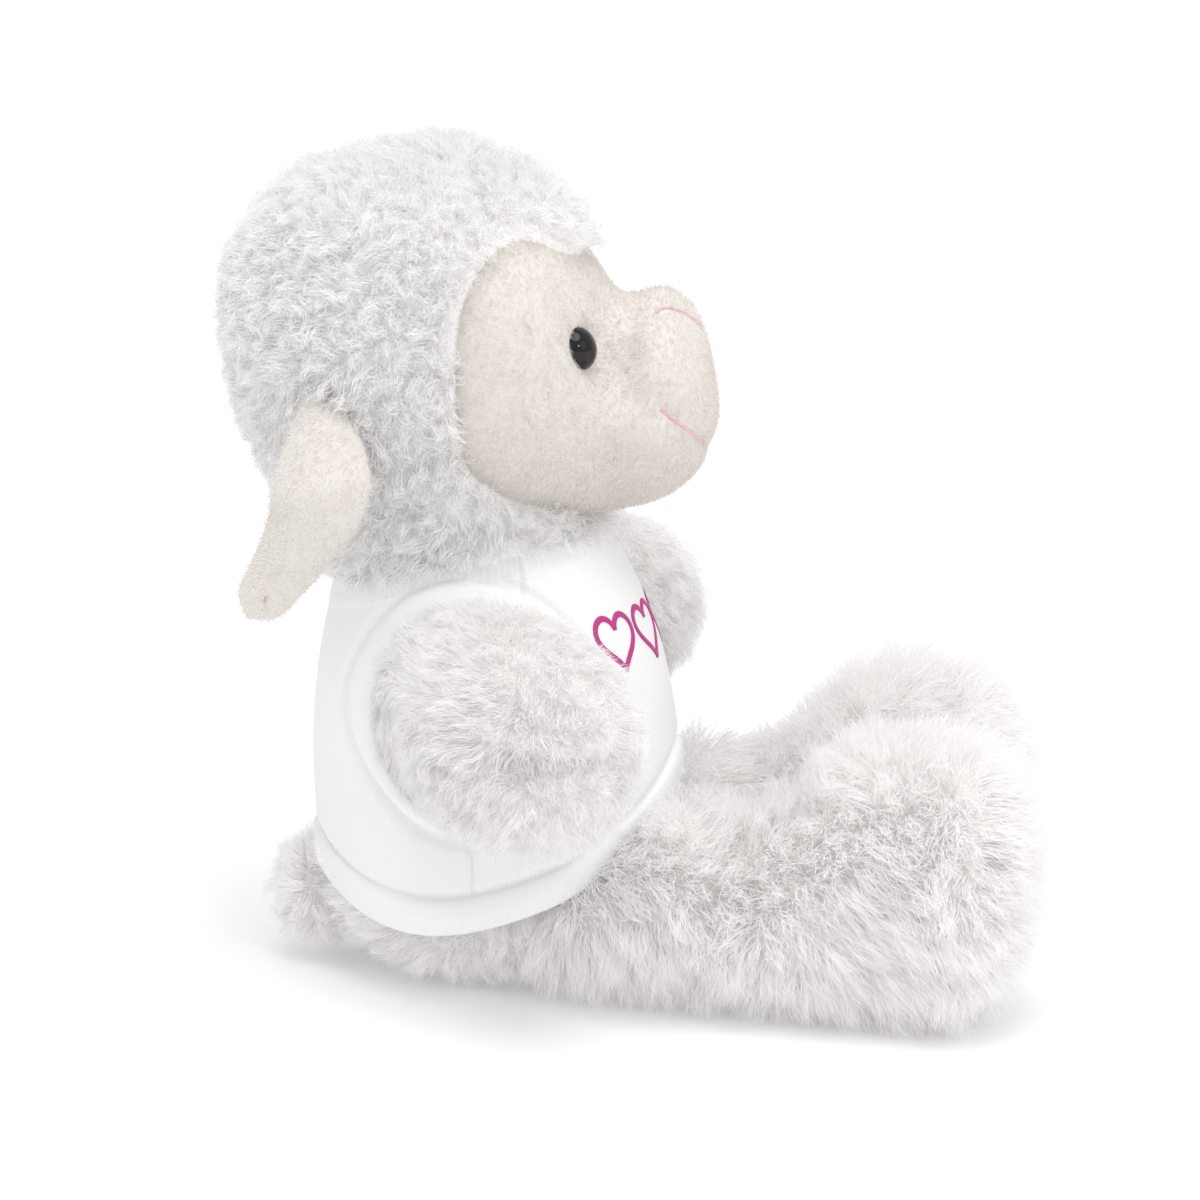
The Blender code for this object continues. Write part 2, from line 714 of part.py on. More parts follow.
def build_tee():
    """Front and back panels that meet at the side seams, and the ribbed bands at neck, armholes and hem."""
    inner = CLEARANCE
    outer = CLEARANCE + TEE_THICKNESS
    band_in = outer + CLEARANCE
    band_out = band_in + RIB_THICKNESS
    total = NECK_UP - HEM_SIDE
    band_share = HEM_BAND_HEIGHT / total
    rib_share = NECK_RIB_HEIGHT / total
    gap_share = 2 * SEAM_GAP / total
    seam_angle = SEAM_GAP / BODY_HALF_WIDTH
    holes = [armhole_tool(f"armhole_{label}", hand) for label, hand in (("left", 1), ("right", -1))]
    quarter = math.pi / 2
    for name, first, last in (("tee_front", -quarter + seam_angle, quarter - seam_angle),
                              ("tee_back", quarter + seam_angle, 3 * quarter - seam_angle)):
        panel = add(name, tee_panel(first, last, 0, 1 - rib_share - gap_share, inner, outer, PANEL_ROWS,
                                    PANEL_COLUMNS), TEE_FINISH)
        for hole in holes:
            cut(panel, hole)
    add("hem_band", tee_panel(0, math.tau, 0, band_share, band_in, band_out, HEM_ROWS, DRAPE_SIDES, True),
        TEE_FINISH)
    add("neck_rib", tee_panel(0, math.tau, 1 - rib_share, 1, inner, outer + RIB_THICKNESS, NECK_RIB_ROWS,
                              DRAPE_SIDES, True), TEE_FINISH)
    for label, hand in (("left", 1), ("right", -1)):
        add(f"{label}_armhole_rib", armhole_rib(hand, band_in, band_out), TEE_FINISH)
    return band_out


def build_head(carrier, below_neck):
    face_room = cutter("face_room", form(face_rings, FINE_STEPS, FINE_SIDES, CLEARANCE))
    head_room = cutter("head_room", form(head_rings, FINE_STEPS, FINE_SIDES, CLEARANCE))
    fleece = add("head_fleece", wall(head_rings, FLEECE_THICKNESS), FLEECE_FINISH, carrier)
    cut(cut(fleece, below_neck), face_room)
    patch = add("face_patch", wall(face_rings, FACE_CLOTH_THICKNESS), FACE_FINISH, carrier)
    cut(patch, head_room)
    muzzle_filling = cutter("muzzle_filling", filling(face_rings, FACE_CLOTH_THICKNESS))
    stuffing = add("head_stuffing", filling(head_rings, FLEECE_THICKNESS), FILLING_FINISH, carrier)
    union = stuffing.modifiers.new("muzzle", "BOOLEAN")
    union.operation = "UNION"
    union.object = muzzle_filling
    cut(stuffing, below_neck)
    return patch, stuffing, head_room


def eye_frame(tree, hand):
    """Where an eye sits on the face, with Z looking out of it."""
    point = on_surface(tree, place(hand * EYE_SIDE, EYE_FORWARD, EYE_UP))
    look = place(hand * math.cos(EYE_TURN), math.sin(EYE_TURN), 0)
    return Matrix.Translation(point - look * EYE_SINK) @ look.to_track_quat("Z", "Y").to_matrix().to_4x4()


def build_eyes(tree, patch, stuffing, carrier):
    dome = [(EYE_RADIUS * math.cos(a), EYE_HEIGHT * math.sin(a))
            for a in (math.pi / 2 * k / DOME_STEPS for k in range(DOME_STEPS))]
    stem_end = -EYE_STEM_LENGTH
    washer_top = -WASHER_GRIP
    washer_low = washer_top - WASHER_THICKNESS
    bore = EYE_STEM_RADIUS + CLEARANCE
    for label, hand in (("left", 1), ("right", -1)):
        frame = eye_frame(tree, hand)
        eye = [(0, stem_end), (EYE_STEM_RADIUS, stem_end), (EYE_STEM_RADIUS, 0), *dome, (0, EYE_HEIGHT)]
        add(f"{label}_eye", turned(eye, TURNED_SIDES, frame), EYE_FINISH, carrier)
        room = [(0, stem_end - CLEARANCE), (bore, stem_end - CLEARANCE), (bore, -CLEARANCE),
                (EYE_RADIUS + CLEARANCE, -CLEARANCE), (EYE_RADIUS + CLEARANCE, EYE_HEIGHT), (0, EYE_HEIGHT)]
        cut(patch, cutter(f"{label}_eye_room", turned(room, TURNED_SIDES, frame)))
        disc = [(0, washer_low), (WASHER_RADIUS, washer_low), (WASHER_RADIUS, washer_top), (0, washer_top)]
        washer = add(f"{label}_eye_washer", turned(disc, TURNED_SIDES, frame), WASHER_FINISH, carrier)
        hole = [(0, stem_end - CLEARANCE), (bore, stem_end - CLEARANCE), (bore, EYE_HEIGHT), (0, EYE_HEIGHT)]
        cut(washer, cutter(f"{label}_washer_bore", turned(hole, TURNED_SIDES, frame)))
        pocket = [(0, stem_end - CLEARANCE), (bore, stem_end - CLEARANCE), (bore, washer_low - CLEARANCE),
                  (WASHER_RADIUS + CLEARANCE, washer_low - CLEARANCE),
                  (WASHER_RADIUS + CLEARANCE, EYE_HEIGHT), (0, EYE_HEIGHT)]
        cut(stuffing, cutter(f"{label}_washer_pocket", turned(pocket, TURNED_SIDES, frame)))


def ear_layer(hand, inner, outer):
    """One of the two leaves of an ear, hanging from its root, between two offsets outward from its middle."""
    grids = []
    for offset in (outer, inner):
        grid = []
        for c in range(EAR_COLUMNS):
            across = 2 * c / (EAR_COLUMNS - 1) - 1
            column = []
            for down, wide in EAR_STATION_SHARES:
                drop = EAR_LENGTH * down
                forward = (EAR_ROOT_FORWARD - EAR_DRIFT_BACK * down ** EAR_DRIFT_SHARE
                           + EAR_HALF_WIDTH * wide * across)
                side = EAR_ROOT_SIDE + EAR_DRIFT_OUT * math.sin(down * math.pi / 2) - EAR_CURL * across ** 2
                lean = 2 * EAR_CURL * across / EAR_HALF_WIDTH
                way = Vector((1, -lean, 0)).normalized()
                point = place(side, forward, EAR_ROOT_UP - drop) + way * offset
                column.append(Vector((hand * point.x, point.y, point.z)))
            grid.append(column)
        grids.append(grid)
    return sheet(*grids, False)


def build_ears(head_carrier, head_room):
    middle = SEAM_GAP / 2 + CLEARANCE / 2
    for label, hand in (("left", 1), ("right", -1)):
        point = place(hand * EAR_ROOT_SIDE, EAR_ROOT_FORWARD, EAR_ROOT_UP)
        carrier = seam(f"{label}_ear_seam", point, place(0, 1, 0), head_carrier)
        far = middle + EAR_CLOTH_THICKNESS
        outer = add(f"{label}_ear_outer", ear_layer(hand, middle, far), FACE_FINISH, carrier)
        lining = add(f"{label}_ear_lining", ear_layer(hand, -far, -middle), FACE_FINISH, carrier)
        for leaf in (outer, lining):
            cut(leaf, head_room)


def shoulder_room(name, hand, root, low, high):
    """All that the torso fills beside an arm over its whole swing, as the arm meets it, as one form."""
    mesh = form(body_rings, FINE_STEPS, FINE_SIDES, CLEARANCE + SWING_ROOM)
    torso = BVHTree.FromBMesh(mesh)
    mesh.free()
    deep = ARM_HALF_DEPTH + ARM_FORWARD_DRIFT
    tall = ARM_HALF_HEIGHT + FLEECE_THICKNESS
    sunk = -ARM_STATION_SHARES[0][0] * ARM_LENGTH + CLEARANCE
    angles = [low + (high - low) * k / ARM_SWING_STEPS for k in range(ARM_SWING_STEPS + 1)]
    turns = [Matrix.Rotation(angle, 3, "Z") for angle in angles]
    fronts, backs = [], []
    for c in range(SHOULDER_COLUMNS):
        forward = deep * (2 * c / (SHOULDER_COLUMNS - 1) - 1)
        front, back = [], []
        for r in range(SHOULDER_ROWS):
            up = tall * (2 * r / (SHOULDER_ROWS - 1) - 1)
            start = place(hand * ARM_LENGTH, forward, up)
            hits = [torso.ray_cast(root + turn @ start, turn @ place(-hand, 0, 0))[3] for turn in turns]
            side = max([-sunk, *(ARM_LENGTH - hit for hit in hits if hit is not None)])
            front.append(root + place(hand * side, forward, up))
            back.append(root + place(-hand * (sunk + FLEECE_THICKNESS), forward, up))
        fronts.append(front)
        backs.append(back)
    return cutter(name, sheet(fronts, backs, False))


def build_limb(name, rings_of, carrier, tools):
    """A stuffed limb: its skin, open at the seam, and its filling, both cut by what it is sewn to."""
    skin = add(f"{name}_fleece", wall(rings_of, FLEECE_THICKNESS), FLEECE_FINISH, carrier)
    stuffing = add(f"{name}_stuffing", filling(rings_of, FLEECE_THICKNESS), FILLING_FINISH, carrier)
    group = bpy.data.collections.new(f"{name}_cutters")
    for tool in tools:
        group.objects.link(tool)
    for piece in (skin, stuffing):
        change = piece.modifiers.new(group.name, "BOOLEAN")
        change.operation = "DIFFERENCE"
        change.operand_type = "COLLECTION"
        change.collection = group


def main():
    for thing in list(bpy.data.objects):
        bpy.data.objects.remove(thing)

    floor_side = FOOT_SIDE + FOOT_HALF_WIDTH + OVERRUN
    floor = block("floor_cut", (-floor_side, -LEG_REACH - OVERRUN, -OVERRUN),
                  (floor_side, BODY_HALF_DEPTH + TAIL_LENGTH + OVERRUN, 0))
    neck_point = place(0, NECK_FORWARD, NECK_UP)
    neck_axis = place(0, -math.sin(NECK_LEAN), math.cos(NECK_LEAN))
    lean = Matrix.Translation(neck_point) @ Matrix.Rotation(-NECK_LEAN, 4, "X")
    reach = OVERRUN * 2
    above_neck = block("above_neck", (-reach, -reach, -CLEARANCE / 2), (reach, reach, reach))
    below_neck = block("below_neck", (-reach, -reach, -reach), (reach, reach, CLEARANCE / 2))
    above_neck.matrix_world = lean
    below_neck.matrix_world = lean
    bpy.context.view_layer.update()

    build_torso(floor, above_neck)
    tee_out = build_tee()
    for name in ("neck_rib", "tee_front", "tee_back", "left_armhole_rib", "right_armhole_rib"):
        cut(bpy.data.objects[name], above_neck)
    neck_seam = seam("neck_seam", neck_point, neck_axis)
    patch, stuffing, head_room = build_head(neck_seam, below_neck)
    face = surface(face_rings)
    build_eyes(face, patch, stuffing, neck_seam)
    stitched_line("nose_stitching", face, NOSE_SHARES, neck_seam, True)
    stitched_line("philtrum_stitching", face, PHILTRUM_SHARES, neck_seam, False)
    stitched_line("mouth_stitching", face, MOUTH_SHARES, neck_seam, True)
    build_ears(neck_seam, head_room)

    body_room = cutter("body_room", form(body_rings, FINE_STEPS, FINE_SIDES, CLEARANCE))
    tee_room = cutter("tee_room", tee_volume(tee_out + DRAPE_ROOM))

    upright = place(0, 0, 1)
    across = place(1, 0, 0)
    for label, hand in (("left", 1), ("right", -1)):
        section = torso_point(math.pi / 2, ARM_ROOT_UP, 0)
        root = place(hand * section.x, ARM_ROOT_FORWARD, ARM_ROOT_UP)
        arm_seam = seam(f"{label}_arm_seam", root, upright)
        # Forward is a turn towards -Y: negative about Z on the left, positive on the right
        low, high = sorted((-hand * ARM_SWING_FORWARD, hand * ARM_SWING_BACK))
        tools = [shoulder_room(f"{label}_shoulder_room", hand, root, low, high)]
        build_limb(f"{label}_arm", lambda steps: arm_rings(hand, root, steps), arm_seam, tools)

        crease = place(hand * LEG_ROOT_SIDE, LEG_CREASE_FORWARD, LEG_CREASE_UP)
        leg_seam = seam(f"{label}_leg_seam", crease, across)
        tools = [floor]
        for tool in (body_room, tee_room):
            tools += swung(tool, f"{label}_leg", crease, across, -LEG_LIFT_LIMIT, 0, LEG_SWING_STEPS)
        build_limb(f"{label}_leg", lambda steps: leg_rings(hand, steps), leg_seam, tools)

    back = torso_point(math.pi, TAIL_UP, 0)
    tail_point = Vector((0, back.y, TAIL_UP))
    tail_seam = seam("tail_seam", tail_point, upright)
    tools = swung(body_room, "tail", tail_point, upright, -TAIL_WAG_LIMIT, TAIL_WAG_LIMIT, TAIL_SWING_STEPS)
    build_limb("tail", tail_rings, tail_seam, tools)


main()
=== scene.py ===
# %% [markdown]
# A plush sheep, dressed from the inside out
#
# The toy sits on a plain floor: a curly head with a smooth face, a small knitted tee, and long
# shaggy arms and legs. Its solid parts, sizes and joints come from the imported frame. Here each
# part gets its cloth, its pile and its stitches, as real meshes that ride on the frame's bodies.

import math

import bmesh
import bpy
import numpy as np
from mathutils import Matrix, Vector
from mathutils.bvhtree import BVHTree
from mathutils.kdtree import KDTree


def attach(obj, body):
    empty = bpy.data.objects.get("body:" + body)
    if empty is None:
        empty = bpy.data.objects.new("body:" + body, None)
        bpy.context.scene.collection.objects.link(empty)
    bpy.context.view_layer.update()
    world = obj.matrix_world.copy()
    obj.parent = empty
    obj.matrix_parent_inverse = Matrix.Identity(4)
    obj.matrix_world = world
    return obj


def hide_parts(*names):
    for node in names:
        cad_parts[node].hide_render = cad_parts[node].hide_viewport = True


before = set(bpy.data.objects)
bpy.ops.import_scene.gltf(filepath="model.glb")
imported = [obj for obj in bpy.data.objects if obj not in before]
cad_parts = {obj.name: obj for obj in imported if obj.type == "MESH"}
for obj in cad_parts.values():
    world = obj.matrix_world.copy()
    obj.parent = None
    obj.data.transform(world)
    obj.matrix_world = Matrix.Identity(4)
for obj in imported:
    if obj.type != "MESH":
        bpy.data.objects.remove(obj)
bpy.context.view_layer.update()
MM = 0.001
SIDES = {"left": 1, "right": -1}

# %% [markdown]
# The camera stands to the toy's right, a little in front and a little above, as the photographer
# did. A long lens keeps the near leg and the far leg at almost the same scale. The camera's place
# could be found by moving it about by eye. Here it was worked out from the toy's known height, so
# that a pixel of the picture is a known length on the toy.

# %% The camera
CAMERA_PLACE = Vector((-1.068, -0.121, 0.342))
CAMERA_TARGET = Vector((0.0, -0.0277, 0.095))
CAMERA_LENS = 131.0
CAMERA_NEAREST = 0.05


def add_thing(name, data, look=None):
    """A new object in the scene from its mesh, lamp or lens, in its finish if it has one yet."""
    thing = bpy.data.objects.new(name, data)
    bpy.context.scene.collection.objects.link(thing)
    if look:
        data.materials.append(look.material)
    return thing


def aimed(thing, place):
    """Puts a camera or lamp at a place and turns it to the toy."""
    thing.location = place
    thing.rotation_mode = "QUATERNION"
    thing.rotation_quaternion = (CAMERA_TARGET - place).to_track_quat("-Z", "Y")
    return thing


lens = bpy.data.cameras.new("camera")
lens.lens = CAMERA_LENS
lens.clip_start = CAMERA_NEAREST
bpy.context.scene.camera = aimed(add_thing("camera", lens), CAMERA_PLACE)
print("camera distance:", round((CAMERA_TARGET - CAMERA_PLACE).length, 3))

# %% [markdown]
# White wool on white paper only reads by its soft shadows. One broad lamp overhead and behind the
# camera's side gives the main light, a weaker one fills from the front, and the pale surroundings
# light what is left. The colours are shown as they are, without the film curve that greys whites.

# %% Floor and light
FLOOR_SIZE = 60.0
FLOOR_TONE = 0.90
FLOOR_GLOW = 0.44
FLOOR_LEAST_GLOW = 0.35
FLOOR_NEAR, FLOOR_FAR = 0.18, 0.80
AIR_TONE = 1.0
AIR_STRENGTH = 0.72
LAMPS = {
    "top_lamp": {"place": (-0.35, -0.10, 1.5), "size": 1.2, "watts": 11.5},
    "front_lamp": {"place": (-0.7, -1.2, 0.8), "size": 1.0, "watts": 1.5},
    "catch_lamp": {"place": (-1.0, -0.55, 0.75), "size": 0.14, "watts": 1.3},
}


def mesh_of(name, places, faces):
    """A mesh from places in metres and faces as lists of corner numbers."""
    mesh = bpy.data.meshes.new(name)
    mesh.from_pydata([tuple(p) for p in places], [], [tuple(f) for f in faces])
    mesh.update()
    return mesh


floor_corners = [(x * FLOOR_SIZE / 2, y * FLOOR_SIZE / 2, 0)
                 for x, y in ((-1, -1), (1, -1), (1, 1), (-1, 1))]
floor = add_thing("floor", mesh_of("floor", floor_corners, [(0, 1, 2, 3)]))

for name, lamp in LAMPS.items():
    light = bpy.data.lights.new(name, "AREA")
    light.shape = "DISK"
    light.size = lamp["size"]
    light.energy = lamp["watts"]
    aimed(add_thing(name, light), Vector(lamp["place"]))

air = bpy.data.worlds.new("air")
air.use_nodes = True
glow = air.node_tree.nodes["Background"].inputs
glow["Color"].default_value = (AIR_TONE, AIR_TONE, AIR_TONE, 1)
glow["Strength"].default_value = AIR_STRENGTH
bpy.context.scene.world = air
bpy.context.scene.view_settings.view_transform = "Standard"
print("lamps:", list(LAMPS))

# %% [markdown]
# A finish is a small graph of nodes. Written node by node it is hard to read, so a value in the
# graph is wrapped here and adds its own Math node for each sign in a sum. One method of the
# finish makes every other node.

# %% Finishes as sums


class Value:
    """A number that varies over a surface. A sum on it adds Math nodes."""

    def __init__(self, finish, socket):
        self.finish = finish
        self.socket = socket

    def math(self, operation, *terms):
        return self.finish.node("ShaderNodeMath", {"operation": operation}, terms)

    def __add__(self, other):
        return self.math("ADD", self, other)

    def __sub__(self, other):
        return self.math("SUBTRACT", self, other)

    def __rsub__(self, other):
        return self.math("SUBTRACT", other, self)

    def __mul__(self, other):
        return self.math("MULTIPLY", self, other)

    def __truediv__(self, other):
        return self.math("DIVIDE", self, other)

    def __pow__(self, other):
        return self.math("POWER", self, other)


class Finish:
    """A material in the making, with its main shader at hand."""

    def __init__(self, name, **constants):
        self.material = bpy.data.materials.new(name)
        self.material.use_nodes = True
        self.tree = self.material.node_tree
        self.shader = self.tree.nodes["Principled BSDF"]
        for socket, value in constants.items():
            self.shader.inputs[socket.replace("_", " ")].default_value = value

    def node(self, kind, settings=None, inputs=(), output=0):
        """Adds a node: its settings first, then its sockets' values or links."""
        made = self.tree.nodes.new(kind)
        for setting, value in (settings or {}).items():
            setattr(made, setting, value)
        pairs = inputs.items() if isinstance(inputs, dict) else enumerate(inputs)
        for socket, value in pairs:
            self.feed(made.inputs[socket], value)
        return Value(self, made.outputs[output])

    def feed(self, socket, value):
        if isinstance(value, Value):
            self.tree.links.new(value.socket, socket)
        else:
            socket.default_value = value

    def mix(self, share, first, second):
        """A colour between two colours."""
        return self.node("ShaderNodeMix", {"data_type": "RGBA"},
                         {"Factor": share, 6: first, 7: second}, 2)

    def place(self):
        """Each point's place in its object."""
        return self.node("ShaderNodeTexCoord", output="Object")

    def noise(self, scale, detail=2.0):
        return self.node("ShaderNodeTexNoise", None,
                         {"Vector": self.place(), "Scale": scale, "Detail": detail})

    def colour(self, value):
        self.feed(self.shader.inputs["Base Color"], value)

    def let_through(self, colour, share):
        """Sends a share of the light on through the surface, as thin white fibres do."""
        through = self.node("ShaderNodeBsdfTranslucent", None, {"Color": colour})
        solid = Value(self, self.shader.outputs[0])
        both = self.node("ShaderNodeMixShader", None, [share, solid, through])
        self.feed(self.tree.nodes["Material Output"].inputs["Surface"], both)

    def bump(self, height, depth, strength=1.0):
        lifted = self.node("ShaderNodeBump", None,
                           {"Height": height, "Distance": depth, "Strength": strength})
        self.feed(self.shader.inputs["Normal"], lifted)


def tint(red, green, blue):
    return (red, green, blue, 1.0)


FLOOR_COLOUR = tint(FLOOR_TONE, FLOOR_TONE, FLOOR_TONE)
paper = Finish("paper", Roughness=0.8, Emission_Strength=FLOOR_GLOW)
paper.colour(FLOOR_COLOUR)
# Away from the toy the paper glows, so that it fades to white while the toy's shadow stays
away = paper.node("ShaderNodeVectorMath", {"operation": "LENGTH"}, [paper.place()], 1)
away = paper.node("ShaderNodeClamp", None,
                  [(away - FLOOR_NEAR) / (FLOOR_FAR - FLOOR_NEAR), FLOOR_LEAST_GLOW, 1.0])
paper.feed(paper.shader.inputs["Emission Color"], paper.mix(away, tint(0, 0, 0), FLOOR_COLOUR))
floor.data.materials.append(paper.material)
print("finish:", paper.material.name)

# %% [markdown]
# Each stuffed part is a sewn skin blown up by its filling: a closed shape whose sections are
# nearly ellipses. It could be sculpted from a ball. Here it is a loft through a few measured
# sections, because the same table then also says which points lie inside the shape. That test
# keeps the pile of one part from growing inside another.

# %% Stuffed forms
LOFT_STEPS = 6
LOFT_SIDES = 72
AXES = {"side": (0, 1, 2), "back": (1, 0, 2), "up": (2, 0, 1)}


def curve(rows, steps):
    """One smooth curve through rows, of which the first and the last only steer it."""
    made = []
    for a, b, c, d in zip(rows, rows[1:], rows[2:], rows[3:]):
        for t in np.arange(steps) / steps:
            made.append((2 * b + (c - a) * t + (2 * a - 5 * b + 4 * c - d) * t ** 2
                         + (3 * b - a - 3 * c + d) * t ** 3) / 2)
    made.append(rows[-2])
    return np.array(made)


def smooth_rows(rows, steps):
    """A smooth curve through rows whose two last values are sizes, closing round at both ends."""
    rows = np.array(rows, float)
    signs = np.where(np.arange(rows.shape[1]) < rows.shape[1] - 2, 1, -1)
    rows = np.vstack([rows[1] * signs, rows, rows[-2] * signs])
    rows[0, 0] = 2 * rows[1, 0] - rows[2, 0]
    rows[-1, 0] = 2 * rows[-2, 0] - rows[-3, 0]
    return curve(rows, steps)


def smooth_line(points, steps):
    """A smooth curve through a few places."""
    points = np.array(points, float)
    return curve(np.vstack([2 * points[0] - points[1], points, 2 * points[-1] - points[-2]]), steps)


class Form:
    """A closed form along one axis. A row is: place along it, two middles, two half sizes, in mm.

    All of it is then grown, or drawn in, by grow. A section's power is 2 for an ellipse and more
    for a fuller one."""

    def __init__(self, axis, rows, grow, power=((0.0,), (2.0,))):
        self.axes = AXES[axis]
        self.rows = smooth_rows(rows, LOFT_STEPS) * MM
        self.grow = grow * MM
        self.power = power

    def power_at(self, along, upper):
        """The section's power there, of which the lower half has a third."""
        more = np.interp(np.asarray(along) / MM, *self.power) - 2
        return 2 + more * np.where(upper, 1, 1 / 3)

    def skin(self, name):
        """The form as a mesh of smooth faces."""
        first, second, third = self.axes
        turns = np.arange(LOFT_SIDES) * math.tau / LOFT_SIDES
        places = []
        for along, middle_a, middle_b, half_a, half_b in self.rows[1:-1]:
            ring = np.zeros((LOFT_SIDES, 3))
            ring[:, first] = along
            across, up = np.cos(turns), np.sin(turns)
            fuller = 2 / self.power_at(along, up > 0)
            ring[:, second] = middle_a + half_a * np.sign(across) * np.abs(across) ** fuller
            ring[:, third] = middle_b + half_b * np.sign(up) * np.abs(up) ** fuller
            places.append(ring)
        ends = np.zeros((2, 3))
        for end, row in zip(ends, (self.rows[0], self.rows[-1])):
            end[[first, second, third]] = row[:3]
        places = np.vstack([ends, *places])
        faces = []
        last = len(self.rows) - 3
        for k in range(LOFT_SIDES):
            n = (k + 1) % LOFT_SIDES
            faces.append((0, 2 + n, 2 + k))
            faces.append((1, 2 + last * LOFT_SIDES + k, 2 + last * LOFT_SIDES + n))
            for ring in range(last):
                low, high = 2 + ring * LOFT_SIDES, 2 + (ring + 1) * LOFT_SIDES
                faces.append((low + k, low + n, high + n, high + k))
        mesh = turned_out(mesh_of(name, places, faces))
        set_places(mesh, read(mesh, "co") + read(mesh, "normal") * self.grow)
        return mesh

    def inside(self, places, margin=0.0):
        """Which places lie in the form, or within a margin of its sections."""
        first, second, third = self.axes
        along = places[:, first]
        order = np.argsort(self.rows[:, 0])
        middle_a, middle_b, half_a, half_b = (
            np.interp(along, self.rows[order, 0], self.rows[order, i]) for i in range(1, 5))
        half_a = np.maximum(half_a + self.grow + margin, MM)
        half_b = np.maximum(half_b + self.grow + margin, MM)
        power = self.power_at(along, places[:, third] > middle_b)
        off = (np.abs(places[:, second] - middle_a) / half_a) ** power
        off += (np.abs(places[:, third] - middle_b) / half_b) ** power
        low, high = self.rows[:, 0].min() - margin, self.rows[:, 0].max() + margin
        return (off < 1) & (along > low) & (along < high)


def turned_out(mesh, weld=0.0):
    """The mesh shaded smooth, with its faces outward, no loose points and near ones welded."""
    work = bmesh.new()
    work.from_mesh(mesh)
    if weld:
        bmesh.ops.remove_doubles(work, verts=work.verts, dist=weld)
    loose = [v for v in work.verts if not v.link_faces]
    bmesh.ops.delete(work, geom=loose, context="VERTS")
    bmesh.ops.recalc_face_normals(work, faces=work.faces)
    work.to_mesh(mesh)
    work.free()
    mesh.shade_smooth()
    return mesh


def read(mesh, what):
    """The place of each point of a mesh, "co", or its normal, "normal"."""
    found = np.empty(len(mesh.vertices) * 3, np.float32)
    mesh.vertices.foreach_get(what, found)
    return found.reshape(-1, 3).astype(float)


def set_places(mesh, places):
    mesh.vertices.foreach_set("co", places.astype(np.float32).ravel())
    mesh.update()


def ring_faces(low, high, sides):
    """The faces between two rings of places, each given by the number of its first place."""
    return [(low + s, low + (s + 1) % sides, high + (s + 1) % sides, high + s)
            for s in range(sides)]


def tube_faces(first, rings, sides, ends=False):
    """The faces of a row of rings from place number first on, with two flat ends if wanted."""
    last = first + (rings - 1) * sides
    faces = [face for low in range(first, last, sides)
             for face in ring_faces(low, low + sides, sides)]
    if ends:
        faces += [tuple(range(first, first + sides)), tuple(range(last, last + sides))]
    return faces


def unit(vectors):
    lengths = np.linalg.norm(vectors, axis=-1, keepdims=True)
    return vectors / np.maximum(lengths, 1e-12)


print("loft:", LOFT_STEPS, "steps a section,", LOFT_SIDES, "sides")

# %% [markdown]
# Pile is what makes a plush toy. Hair particles would be quick, but they don't leave Blender with
# the meshes, so each strand is a real ribbon of three narrowing steps. Strands grow in tufts:
# the roots are spread evenly over the skin, and the tips are drawn to the tip of the nearest
# tuft, as wool fibres cling together. Light passes through thin white fibres, so half of what
# meets a strand goes on through it: that is what makes the pile glow softly instead of looking
# like a heap of blades. A smooth random field bends the lie, as a hand does that strokes it.

# %% Pile
STRAND_STEPS = np.array([0.0, 0.4, 0.75, 1.0])
STRAND_TAPER = np.array([1.0, 0.85, 0.55])
PILE_MAP = "OFBake"
STRAND_GLOW = 0.5
DEEP_LIGHT = 0.035
BRUSH_WAVES = 6
STRAND_LENGTHS = (0.75, 1.1)
STRAND_WIDTHS = (0.7, 1.3)
CURL_TURN = 5
TUFT_UNEVEN = 0.25
TUFT_WIDTH = 0.2
FLOOR_PILE = 1.5 * MM
FLOOR_SLIDE = 0.5


def spread(mesh, count, chance):
    """Random places on a mesh, evenly by area, with their normals."""
    mesh.calc_loop_triangles()
    corners = np.empty(len(mesh.loop_triangles) * 3, np.int32)
    mesh.loop_triangles.foreach_get("vertices", corners)
    corners = corners.reshape(-1, 3)
    places, normals = read(mesh, "co")[corners], read(mesh, "normal")[corners]
    areas = np.linalg.norm(np.cross(places[:, 1] - places[:, 0], places[:, 2] - places[:, 0]),
                           axis=1)
    picked = np.searchsorted(np.cumsum(areas) / areas.sum(), chance.random(count))
    a, b = chance.random(count), chance.random(count)
    over = a + b > 1
    a[over], b[over] = 1 - a[over], 1 - b[over]
    weights = np.stack([1 - a - b, a, b], 1)[:, :, None]
    found, normals = (places[picked] * weights).sum(1), (normals[picked] * weights).sum(1)
    return found, unit(normals), areas.sum() / 2


def nearest(places, centres):
    """The number of the nearest centre to each place."""
    tree = KDTree(len(centres))
    for i, centre in enumerate(centres):
        tree.insert(centre, i)
    tree.balance()
    return np.array([tree.find(place)[1] for place in places])


def brushed(places, seed, reach):
    """A smooth random way at each place, as hands leave long pile lying. reach in mm."""
    chance = np.random.default_rng(seed)
    way = np.zeros((len(places), 3))
    for _ in range(BRUSH_WAVES):
        wave = chance.normal(0, 1, 3) / (reach * MM)
        way += np.sin(places @ wave + chance.uniform(0, math.tau))[:, None] * chance.normal(0, 1, 3)
    return way / math.sqrt(BRUSH_WAVES)


def leaning(way, share, seed, reach):
    """How a pile lies over: one way for all of it, and a share of the smooth random way."""
    return lambda places, normals: np.array(way) + share * brushed(places, seed, reach)


def wear(thing, body, slot, *nodes):
    """Puts a piece on its body and hides the solids that it stands for. The record's slot is not
    used.
    """
    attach(thing, body)
    if nodes:
        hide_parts(*nodes)
    return thing


